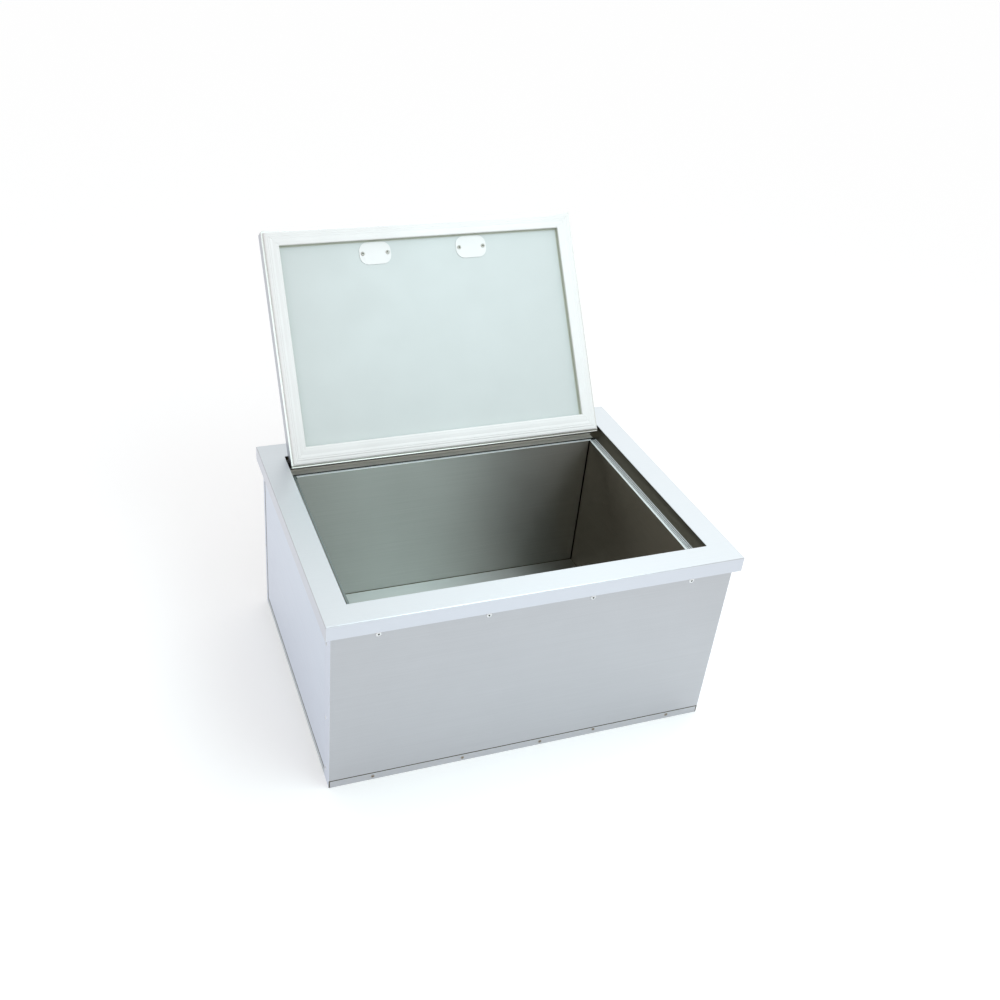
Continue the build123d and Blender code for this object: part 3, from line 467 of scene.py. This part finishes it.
# Painted light: the gasket's outer walls at the ends are painted pure white, lighter than its face.
gasket_side_light = ((-290.2, -far, 0.0), (290.2, far, far), 0.3, outside, "#FFFFFF")
# Painted shade: the strips are painted dark below the tops of their ribs.
strip_groove_shade = ((-far, -far, 313.7), (far, far, far), 0.3, outside, "#4A4741")
# Painted light: the broad strip at the hinge side, in the lid's shade, is painted lighter and warmer.
back_strip = ((-far, -far, 0.0), (far, 186.0, far), 0.5, outside, "#E2DED3")
# Painted shade: a dark band along its inner part, next to the tub.
back_groove_shade = ((-far, 186.0, 0.0), (far, 198.5, far), 0.5, inside, "#24221F")
# Painted shade: the liner's recess walls at the front and the ends are painted a darker taupe grey.
liner_wall_shade = ((-264.0, -178.5, 0.0), (264.0, far, far), 0.3, outside, "#B7BAAC")
# Painted shade: the covers' edge walls are painted dark grey.
cover_edge_shade = ((-far, -far, 0.0), (far, far, 325.2), 0.2, outside, "#6E726D")
# Soft white vinyl: a broad dull shine that shows it gives when pressed.
gasket_vinyl = moulded("soft_vinyl_gasket", ("#E9E6E5", "#E5E2E1"), 0.50, 0.9, 0.01, swung_open=True,
                       places=(gasket_wall_shade, gasket_side_light))
# Extruded PVC: smooth along the strip, with painted shade in the grooves that draws the ribs.
breaker_pvc = moulded("extruded_pvc_breaker", ("#D0D2D3", "#C8CACB"), 0.35, 1.1, 0.02,
                      places=(strip_groove_shade, back_strip, back_groove_shade))
# Coil-coated sheet: a satin enamel with the faint peel of a roller-coated paint.
liner_sheet = moulded("prefinished_steel_liner", ("#CACECD", "#C8CCCB"), 0.42, 2.2, 0.02,
                      swung_open=True, places=(liner_wall_shade,))
# Moulded ABS: the whitest and glossiest part of the lid, so the covers stand off the liner.
cover_abs = moulded("white_abs_cover", ("#E4E1E0", "#E0DDDC"), 0.30, 0.8, 0.01, swung_open=True,
                    places=(cover_edge_shade,))
print("materials so far:", len(bpy.data.materials))

# %% [markdown]
# ## Small and hidden parts
# These parts are a few pixels large, or show only from behind, from below or with the lid shut. Plain
# colours would do for this picture, but those who use the model turn it and open it, so each part gets
# the texture that its real material has.

# %% Finishes of the small and hidden parts
# Black nylon: a dark dot with a soft glint at each end of the hinge.
bush_nylon = moulded("black_nylon_bush", ("#141415", "#1D1D1E"), 0.45, 0.6, 0.01)
# Moulded rubber: black without shine.
plug_rubber = moulded("black_epdm_rubber", ("#1B1B1C", "#242425"), 0.62, 0.7, 0.03)
# Plated brass: smoother and warmer than the steel floor round it.
drain_plate = moulded("nickel_plated_brass", ("#C9C7C0", "#BDBAB2"), 0.22, 1.5, 0.01, 0.10, 1.0)
# Stainless fixings: bright turned heads.
fixing_steel = moulded("stainless_a2_fixings", ("#E4E5E6", "#D0D2D3"), 0.28, 0.8, 0.01, 0.12, 1.0)
# Zinc, darker, browner and rougher: on the rivets along the base of the front and back.
dull_fixings = moulded("dark_zinc_base_fixings", ("#A89E92", "#8F867B"), 0.50, 0.6, 0.02, 0.15, 1.0)
# Plated screws: pale heads, in which the cross reads dark.
screw_zinc = moulded("plated_zinc_screws", ("#CFCDC6", "#BDBAB1"), 0.42, 0.6, 0.02, 0.12, 1.0)
# Snapped pins, and the grime and painted shade in the screw crosses: nearly black, and rough.
pin_steel = moulded("oxidised_rivet_pins", ("#4A463F", "#37342F"), 0.55, 0.5, 0.02, 0.10, 1.0)
# Rigid foam: cream, with the broken cells of a cut face.
foam_cut = moulded("rigid_polyurethane_foam", ("#E8DDB4", "#DACB9B"), 0.85, 1.2, 0.25)
# Galvanised steel: blue-grey, with zinc crystals that change the gloss from patch to patch.
zinc_coat = moulded("galvanised_steel", ("#B4B8BA", "#9EA3A6"), 0.45, 7.0, 0.02, 0.20, 1.0)
# Satin handle: brushed along the bar, and polished by hands.
handle_steel = brushed_sheet("satin_stainless_handle", "#C9CBCD", "#BCBEC1", 0.30, swung_open=True)
print("finishes in all:", len(bpy.data.materials))

# %% [markdown]
# ## Dress the measured parts
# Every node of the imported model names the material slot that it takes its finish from. The finishes could
# be given by hand, node by node. One table from slots to finishes is shorter and misses none, and a second
# table picks out the sheets whose tone differs.

# %% Give each node its finish
finish_of_slot = {"steel": front_steel, "tub_steel": tub_steel, "galvanised": zinc_coat, "foam": foam_cut,
                  "breaker": breaker_pvc, "liner": liner_sheet, "gasket": gasket_vinyl,
                  "hardware": fixing_steel, "nylon": bush_nylon, "handle": handle_steel,
                  "cover": cover_abs, "drain": drain_plate, "rubber": plug_rubber}
finish_of_node = {"top_frame": flange_steel, "side_panel_left": side_steel, "side_panel_right": side_steel,
                  "bottom_pan": pan_steel, "lid_skin": lid_steel, "tub_side_wall_left": tub_end_steel_shaded,
                  "tub_side_wall_right": tub_end_steel_shaded, "tub_floor": tub_floor_steel_lit}
for part in frame["record"]["subparts"]:
    node = chest[part["node"]]
    finish = finish_of_node.get(part["node"], finish_of_slot[part["material_slot"]])
    node.data.materials.clear()
    node.data.materials.append(finish)

# %% [markdown]
# ## Pieces of our own
# Some measured parts stand in for something finer. Their replacements are made in place, in the chest's
# own frame, and stay at the origin unturned. One helper finishes each of them: it names the body that
# carries the piece and the parts that it replaces. The other helper is a lathe, which makes every round
# head from its outline. A subdivided cylinder would need more faces for the same crisp edges.

# %% Helpers for new pieces
def new_piece(name, mesh, body, replaced, sharp_degrees=35.0):
    """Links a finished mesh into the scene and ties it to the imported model."""
    piece = bpy.data.objects.new(name, mesh)
    bpy.context.scene.collection.objects.link(piece)
    for face in mesh.polygons:
        face.use_smooth = True
    mesh.set_sharp_from_angle(angle=math.radians(sharp_degrees))
    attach(piece, body)
    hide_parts(*replaced)
    print(name, "has", len(mesh.polygons), "faces and rides on", body)
    return piece


def turned_shape(name, outline_mm, steps=28):
    """A shape turned on a lathe about Z, from (radius, height) points that start and end on the axis."""
    shape = bmesh.new()
    rings = []
    for radius, height in outline_mm:
        count = steps if radius > 0 else 1
        rings.append([shape.verts.new((radius * mm * math.cos(2 * math.pi * i / count),
                                       radius * mm * math.sin(2 * math.pi * i / count), height * mm))
                      for i in range(count)])
    for low, high in zip(rings, rings[1:]):
        for i in range(steps):
            corners = [low[i % len(low)], low[(i + 1) % len(low)],
                       high[(i + 1) % len(high)], high[i % len(high)]]
            shape.faces.new(list(dict.fromkeys(corners)))
    bmesh.ops.recalc_face_normals(shape, faces=shape.faces)
    mesh = bpy.data.meshes.new(name)
    shape.to_mesh(mesh)
    shape.free()
    return bpy.data.objects.new(name, mesh)


print("lathe ready")

# %% [markdown]
# ## Rivets and screws by Geometry Nodes
# Thirty-eight blind rivets hold the sheets, and four screws the two covers. Each kind is one shape at many
# places, so it is turned once on a lathe, and Geometry Nodes puts a copy on every mark. The copies could
# stay instances of one mesh, but the exported model would lose them, so the tree ends by making them
# real.

# %% The tree that sets fixings on their marks
def fixings_tree():
    """Head and core on each mark, turned to face along the mark's direction."""
    tree = bpy.data.node_groups.new("fixings_on_marks", "GeometryNodeTree")
    names = {}
    for name, kind in (("Marks", "Geometry"), ("Head", "Object"), ("Core", "Object"),
                       ("Head finish", "Material"), ("Core finish", "Material"), ("Size", "Float")):
        names[name] = tree.interface.new_socket(name, in_out="INPUT", socket_type="NodeSocket" + kind)
    tree.interface.new_socket("Fixings", in_out="OUTPUT", socket_type="NodeSocketGeometry")
    given = add_node(tree, "NodeGroupInput").outputs
    facing = add_node(tree, "GeometryNodeInputNamedAttribute", {"data_type": "FLOAT_VECTOR",
                                                                "Name": "facing"})
    turned = add_node(tree, "FunctionNodeAlignRotationToVector", {"axis": "Z"},
                      {"Vector": facing.outputs["Attribute"]})
    joined = add_node(tree, "GeometryNodeJoinGeometry")
    for part in ("Head", "Core"):
        shape = add_node(tree, "GeometryNodeObjectInfo", {"As Instance": True}, {"Object": given[part]})
        copies = add_node(tree, "GeometryNodeInstanceOnPoints", {},
                          {"Points": given["Marks"], "Instance": shape.outputs["Geometry"],
                           "Rotation": turned.outputs[0], "Scale": given["Size"]})
        real = add_node(tree, "GeometryNodeRealizeInstances", {}, {"Geometry": copies.outputs[0]})
        dressed = add_node(tree, "GeometryNodeSetMaterial", {}, {"Geometry": real.outputs[0],
                                                                "Material": given[part + " finish"]})
        tree.links.new(dressed.outputs[0], joined.inputs[0])
    add_node(tree, "NodeGroupOutput", {}, {0: joined.outputs[0]})
    return tree, {name: socket.identifier for name, socket in names.items()}


fixings, fixings_input = fixings_tree()
print("tree with inputs:", ", ".join(fixings_input))

# %% [markdown]
# ## Marks for the fixings
# A mark is a bare point of a mesh that carries the direction that the head faces. The tree hangs on that
# mesh as a modifier. Its result is taken off as a plain mesh, and the marks are thrown away. A loop
# could set the heads too, but a tree can be opened in Blender and tried with other shapes by hand.

# %% Helper that sets fixings
def set_fixings(name, marks, head, core, head_finish, core_finish):
    """Runs the tree on a list of (place, facing) in mm, and returns the plain mesh."""
    mesh = bpy.data.meshes.new(name)
    mesh.from_pydata([Vector(place) * mm for place, facing in marks], [], [])
    facings = mesh.attributes.new("facing", "FLOAT_VECTOR", "POINT")
    facings.data.foreach_set("vector", [v for place, facing in marks for v in facing])
    points = bpy.data.objects.new(name, mesh)
    bpy.context.scene.collection.objects.link(points)
    modifier = points.modifiers.new("fixings", "NODES")
    modifier.node_group = fixings
    for key, value in (("Head", head), ("Core", core), ("Head finish", head_finish),
                       ("Core finish", core_finish), ("Size", 1.0)):
        modifier[fixings_input[key]] = value
    graph = bpy.context.evaluated_depsgraph_get()
    made = bpy.data.meshes.new_from_object(points.evaluated_get(graph))
    bpy.data.objects.remove(points)
    return made


print("modifier inputs are set by identifier, such as", fixings_input["Head"])

# %% [markdown]
# ## The rivets
# A blind rivet is set from outside. A pin pulls its tail into a bulb behind the sheets and snaps off in
# the head, which leaves a bright dome with a dark, rough centre. That dark centre is what tells a rivet
# from a screw at a distance, so the pin is a shape of its own in a real hole, where paint would look flat.

# %% Rivet shapes
def rivet_shapes(size, radius, head, height, hole, tail, length):
    """The rivet's dome, shank and bulb, and the snapped pin inside its hole."""
    # The outline starts in the hole, goes over the dome and down the shank, and ends round the bulb.
    grip = 2.0
    dome = turned_shape(size + "_rivet", [
        (0, 0.25 * height), (hole, 0.25 * height), (hole, 0.88 * height), (hole * 1.15, height),
        (head * 0.55, height), (head * 0.76, 0.86 * height), (head * 0.90, 0.62 * height),
        (head * 0.98, 0.34 * height), (head, 0.10 * height), (head, 0), (radius, 0), (radius, -grip),
        (tail, -grip), (tail, -grip - 0.6 * length), (0.6 * tail, -grip - length), (0, -grip - length)])
    pin = turned_shape(size + "_rivet_pin", [
        (0, 0.25 * height), (0.86 * hole, 0.25 * height), (0.86 * hole, 0.55 * height),
        (0.45 * hole, 0.70 * height), (0.2 * hole, 0.62 * height), (0, 0.66 * height)], steps=14)
    return dome, pin


large_head, large_pin = rivet_shapes("large", radius=2.4, head=4.75, height=1.4, hole=1.5, tail=3.4,
                                     length=4.5)
small_head, small_pin = rivet_shapes("small", radius=1.6, head=2.9, height=0.8, hole=1.0, tail=2.3,
                                     length=3.2)
print("rivet shapes:", large_head.name, large_pin.name, small_head.name, small_pin.name)

# %% [markdown]
# ## Where the rivets sit
# Four large rivets go through the front sheet, just under the lip, into the rail that holds the frame.
# Five small ones hold the pan to the sheet, unevenly spaced, as happens when they are set by hand. The
# back has the same, and the short sides have small ones on the returns and on the pan. A grid would be
# easier to write, but the uneven places are part of how the chest looks.

# %% Rivets on the sheets
body_x, body_y = 333.0, 247.5
under_lip = [(x, 306.0) for x in (-259.95, -86.65, 86.65, 259.95)]
along_base = [(-260, 6.5), (-106, 6.5), (33, 6.5), (132, 9.5), (273, 8.0)]
on_returns = [(y, z) for y in (-226.0, 241.5) for z in (24.0, 135.0, 285.0)]
on_pan_side = [(y, 7.0) for y in (-185.0, -43.0, 99.0, 205.0)]
large_marks = [((x, side * body_y, z), (0, side, 0)) for side in (-1, 1) for x, z in under_lip]
base_marks = [((x, side * body_y, z), (0, side, 0)) for side in (-1, 1) for x, z in along_base]
side_marks = [((side * body_x, y, z), (side, 0, 0)) for side in (-1, 1)
              for y, z in on_returns + on_pan_side]
large_rivets = set_fixings("large_rivets", large_marks, large_head, large_pin, fixing_steel, pin_steel)
base_rivets = set_fixings("base_rivets", base_marks, small_head, small_pin, dull_fixings, pin_steel)
side_rivets = set_fixings("side_rivets", side_marks, small_head, small_pin, fixing_steel, pin_steel)
new_piece("lip_rivets", large_rivets, "chest", ["front_rivets", "back_rivets"])
new_piece("base_rivets", base_rivets, "chest", ["front_base_rivets", "back_base_rivets"])
new_piece("side_rivets", side_rivets, "chest", ["side_rivets_left", "side_rivets_right"])

# %% [markdown]
# ## The lid's place
# The lid is easiest to think of closed, where its sheets lie level. Its new pieces are made that way and
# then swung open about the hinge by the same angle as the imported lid. The swing could be the object's own
# rotation, but the export wants its objects unturned, so it goes into their meshes.

# %% Swing from closed to open
swing = Matrix.Translation(hinge) @ Matrix.Rotation(open_turn, 4, "X") @ Matrix.Translation(-hinge)


def swung(place_mm):
    """A place on the closed lid, in mm, moved to where it is with the lid open."""
    return swing @ (Vector(place_mm) * mm) / mm


print("the lid's front edge goes to", [round(v) for v in swung((0, -209.0, 330.0))])

# %% [markdown]
# ## Cover screws
# Two pan-head screws hold each cover. Their cross recess is punched, with walls that slope in, and it
# collects grime and lies in shade, so it reads as a dark cross. The head is turned on the same lathe as the
# rivets, a tapered cross is cut out of it with a Boolean, and a dark cross of painted shade and grime fills
# the bottom of the recess.

# %% Screws on the covers
def cross_shape(name, reach, width, low, high, narrow):
    """A plus sign with walls that slope in towards its lower end, in mm."""
    outline = [(reach, -width), (reach, width), (width, width), (width, reach), (-width, reach),
               (-width, width), (-reach, width), (-reach, -width), (-width, -width), (-width, -reach),
               (width, -reach), (width, -width)]
    corners = [(x * k * mm, y * k * mm, z * mm) for z, k in ((low, narrow), (high, 1.0)) for x, y in outline]
    count = len(outline)
    faces = [tuple(reversed(range(count))), tuple(range(count, 2 * count))]
    faces += [(i, (i + 1) % count, count + (i + 1) % count, count + i) for i in range(count)]
    mesh = bpy.data.meshes.new(name)
    mesh.from_pydata(corners, [], faces)
    return bpy.data.objects.new(name, mesh)


# The blank: the flat top rounds over into a low rim, and the shank below ends in a point.
screw_blank = turned_shape("cover_screw", [(0, 1.70), (1.6, 1.66), (2.6, 1.48), (3.3, 1.10), (3.62, 0.62),
                                           (3.7, 0.20), (3.6, 0), (1.5, 0), (1.5, -7.2), (0, -8.6)])
cutter = cross_shape("cross_cutter", reach=2.5, width=0.72, low=0.30, high=1.9, narrow=0.60)
# Painted shade and grime: the dark cross in the bottom of the recess.
grime = cross_shape("cross_grime", reach=1.75, width=0.50, low=0.30, high=1.05, narrow=0.85)
for shape in (screw_blank, cutter):
    bpy.context.scene.collection.objects.link(shape)
cut = screw_blank.modifiers.new("cross", "BOOLEAN")
cut.operation, cut.object, cut.solver = "DIFFERENCE", cutter, "EXACT"
graph = bpy.context.evaluated_depsgraph_get()
screw_head = bpy.data.objects.new("cover_screw_cut", bpy.data.meshes.new_from_object(
    screw_blank.evaluated_get(graph)))
for shape in (screw_blank, cutter):
    bpy.data.objects.remove(shape)
down = (swing.to_3x3() @ Vector((0, 0, -1)))[:]
cover_x, cover_y, cover_face_z, screw_from_middle = 92.0, -158.0, 325.0, 23.3
screw_marks = [(swung((side * cover_x + end * screw_from_middle, cover_y, cover_face_z)), down)
               for side in (-1, 1) for end in (-1, 1)]
cover_screws = set_fixings("cover_screws_cut", screw_marks, screw_head, grime, screw_zinc, pin_steel)
new_piece("cover_screws_pan_head", cover_screws, "lid", ["cover_screws"])

# %% [markdown]
# ## The gasket
# The seal is an extruded soft vinyl length, cut at 45 degrees and welded at the corners. Its face has a
# flat outer band over the magnet, a fold that lets it give, and a soft inner lip, with fine ribs along
# all of them. A sweep along a frame would pinch the section at sharp corners, so the four sides are
# joined straight from the section's points: each point draws its own rectangle, and the corners mitre by
# themselves. Next to each mitre the section dips a little, as the weld does.

# %% Gasket with its ribs and mitres
# Each point lies a share of the way from the outer edge to the inner one, at a height in mm.
gasket_section = [(0.000, 0.0), (0.000, 4.6), (0.030, 5.5), (0.080, 5.8), (0.160, 5.9), (0.180, 5.6),
                  (0.200, 5.6), (0.220, 5.9), (0.300, 6.0), (0.320, 5.65), (0.340, 5.65), (0.360, 6.0),
                  (0.440, 5.9), (0.480, 5.7), (0.510, 5.5), (0.540, 5.5), (0.580, 5.6), (0.640, 5.7),
                  (0.720, 5.8), (0.800, 5.8), (0.820, 5.6), (0.840, 5.6), (0.860, 5.7), (0.920, 5.5),
                  (0.970, 4.9), (1.000, 3.6), (1.000, 0.0)]
gasket_outer = ((-290.6, -204.6), (290.6, -204.6), (290.6, 204.6), (-290.6, 204.6))
gasket_inner = ((-266.0, -180.5), (266.0, -180.5), (266.0, 174.5), (-266.0, 174.5))
lid_face_z = 321.0
weld_half_mm, weld_dip_mm = 0.5, 0.35


def gasket_ring(share, height):
    """The rectangle that one point of the section draws, with a dip on each mitre."""
    corners = [Vector(a).lerp(Vector(b), share) for a, b in zip(gasket_outer, gasket_inner)]
    # Only the ribbed face dips. The foot lies flat on the lid.
    dip = weld_dip_mm if height > 0.0 else 0.0
    ring = []
    for i, corner in enumerate(corners):
        before, after = corners[i - 1] - corner, corners[(i + 1) % 4] - corner
        for place, drop in ((corner + before.normalized() * weld_half_mm, 0.0), (corner, dip),
                            (corner + after.normalized() * weld_half_mm, 0.0)):
            ring.append(swing @ Vector((place.x * mm, place.y * mm, (lid_face_z - height + drop) * mm)))
    return ring


shape = bmesh.new()
rings = [[shape.verts.new(p) for p in gasket_ring(s, h)] for s, h in gasket_section]
count = len(rings[0])
for low, high in zip(rings, rings[1:] + rings[:1]):
    for i in range(count):
        shape.faces.new((low[i], low[(i + 1) % count], high[(i + 1) % count], high[i]))
bmesh.ops.recalc_face_normals(shape, faces=shape.faces)
gasket_mesh = bpy.data.meshes.new("lid_gasket")
shape.to_mesh(gasket_mesh)
shape.free()
gasket_mesh.materials.append(gasket_vinyl)
new_piece("lid_gasket", gasket_mesh, "lid",
          ["gasket_front", "gasket_back", "gasket_left", "gasket_right"], sharp_degrees=25.0)

# %% [markdown]
# ## The breaker strips
# Between the cold tub and the warm flange lie four plastic strips that stop the cold from crossing. They
# are extruded, so they have one section all along. Each could be modelled face by face, but a sweep along
# a path does what the extruder does, and a changed section changes every strip. Geometry Nodes makes it.

# %% The tree that sweeps a section
def sweep_tree():
    """Sweeps a closed section along the edges of a mesh, and closes the ends."""
    tree = bpy.data.node_groups.new("section_along_path", "GeometryNodeTree")
    names = {}
    for name, kind in (("Path", "Geometry"), ("Section", "Object"), ("Finish", "Material")):
        names[name] = tree.interface.new_socket(name, in_out="INPUT", socket_type="NodeSocket" + kind)
    tree.interface.new_socket("Strip", in_out="OUTPUT", socket_type="NodeSocketGeometry")
    given = add_node(tree, "NodeGroupInput").outputs
    path = add_node(tree, "GeometryNodeMeshToCurve", {}, {"Mesh": given["Path"]})
    level = add_node(tree, "GeometryNodeSetCurveNormal", {"mode": "Z_UP"}, {"Curve": path.outputs[0]})
    section = add_node(tree, "GeometryNodeObjectInfo", {}, {"Object": given["Section"]})
    swept = add_node(tree, "GeometryNodeCurveToMesh", {"Fill Caps": True},
                     {"Curve": level.outputs[0], "Profile Curve": section.outputs["Geometry"]})
    real = add_node(tree, "GeometryNodeRealizeInstances", {}, {"Geometry": swept.outputs[0]})
    dressed = add_node(tree, "GeometryNodeSetMaterial", {}, {"Geometry": real.outputs[0],
                                                            "Material": given["Finish"]})
    add_node(tree, "NodeGroupOutput", {}, {0: dressed.outputs[0]})
    return tree, {name: socket.identifier for name, socket in names.items()}


sweep, sweep_input = sweep_tree()
print("tree with inputs:", ", ".join(sweep_input))

# %% [markdown]
# ## Sections and paths
# The sweep needs two things. A section is a closed flat curve, and a path is one straight edge of a mesh.
# A path runs with the tub on its left, so that the section always grows outwards.

# %% Helpers for sections and strips
def section_curve(name, points_mm):
    """A closed outline of (outwards, height) points. The sweep takes its second value downwards."""
    curve = bpy.data.curves.new(name, "CURVE")
    curve.dimensions = "2D"
    spline = curve.splines.new("POLY")
    spline.points.add(len(points_mm) - 1)
    for point, (out, height) in zip(spline.points, points_mm):
        point.co = (out * mm, -height * mm, 0.0, 1.0)
    spline.use_cyclic_u = True
    return bpy.data.objects.new(name, curve)


def swept_strip(name, start_mm, end_mm, section):
    """One strip's plain mesh, from the sweep of a section along a straight path."""
    mesh = bpy.data.meshes.new(name)
    mesh.from_pydata([Vector(start_mm) * mm, Vector(end_mm) * mm], [(0, 1)], [])
    path = bpy.data.objects.new(name, mesh)
    bpy.context.scene.collection.objects.link(path)
    modifier = path.modifiers.new("sweep", "NODES")
    modifier.node_group = sweep
    modifier[sweep_input["Section"]] = section
    modifier[sweep_input["Finish"]] = breaker_pvc
    graph = bpy.context.evaluated_depsgraph_get()
    made = bpy.data.meshes.new_from_object(path.evaluated_get(graph))
    bpy.data.objects.remove(path)
    return made


print("a strip takes a start, an end and a section")

# %% [markdown]
# ## The ribs on the strips
# The fine ribs along the strips catch the light as pale lines, with painted shade between them. A bump in
# the material would draw them too, but it would leave the mesh flat for those who print or cut it. So they
# are in the section: two on the narrow strips, and nine on the broad one at the hinge side.

# %% Ribbed strips along their paths
def ribs(start, end, count, low, high):
    """The top of a strip from one place to another, as half-round ribs."""
    pitch = (end - start) / count
    profile = ((0.08, 0.0), (0.22, 0.7), (0.38, 1.0), (0.62, 1.0), (0.78, 0.7), (0.92, 0.0))
    return [(start + (i + share) * pitch, low + (high - low) * rise) for i in range(count)
            for share, rise in profile]


# Each point is a way outwards from the path and a height above the base, in mm.
strip_low = 305.0
side_top = [(3.0, 312.2), (4.4, 312.2)] + ribs(4.4, 10.8, 2, 312.6, 314.4)
side_top += [(11.3, 312.6), (11.4, 314.6), (11.7, 315.0), (12.7, 315.0), (13.0, 314.6)]
side_section = section_curve("side_strip_section", [(13.0, strip_low), (3.0, strip_low)] + side_top)
back_top = [(3.0, 314.4), (4.5, 314.4), (4.5, 311.0)] + ribs(4.9, 25.1, 9, 310.4, 311.0)
back_top += [(25.5, 311.0), (25.5, 313.6), (25.9, 314.0), (27.6, 314.0), (28.0, 313.6)]
back_section = section_curve("back_strip_section", [(28.0, strip_low), (3.0, strip_low)] + back_top)
strip_paths = (("strip_front", (-300, -200, 0), (300, -200, 0), side_section),
               ("strip_right", (287, -203, 0), (287, 188, 0), side_section),
               ("strip_back", (300, 185, 0), (-300, 185, 0), back_section),
               ("strip_left", (-287, 188, 0), (-287, -203, 0), side_section))
strip_shape = bmesh.new()
for name, start, end, section in strip_paths:
    strip_shape.from_mesh(swept_strip(name, start, end, section))
strip_mesh = bpy.data.meshes.new("breaker_strips")
strip_shape.to_mesh(strip_mesh)
strip_shape.free()
strip_mesh.materials.append(breaker_pvc)
new_piece("breaker_strips", strip_mesh, "chest",
          ["strip_front", "strip_back", "strip_side_left", "strip_side_right"], sharp_degrees=50.0)
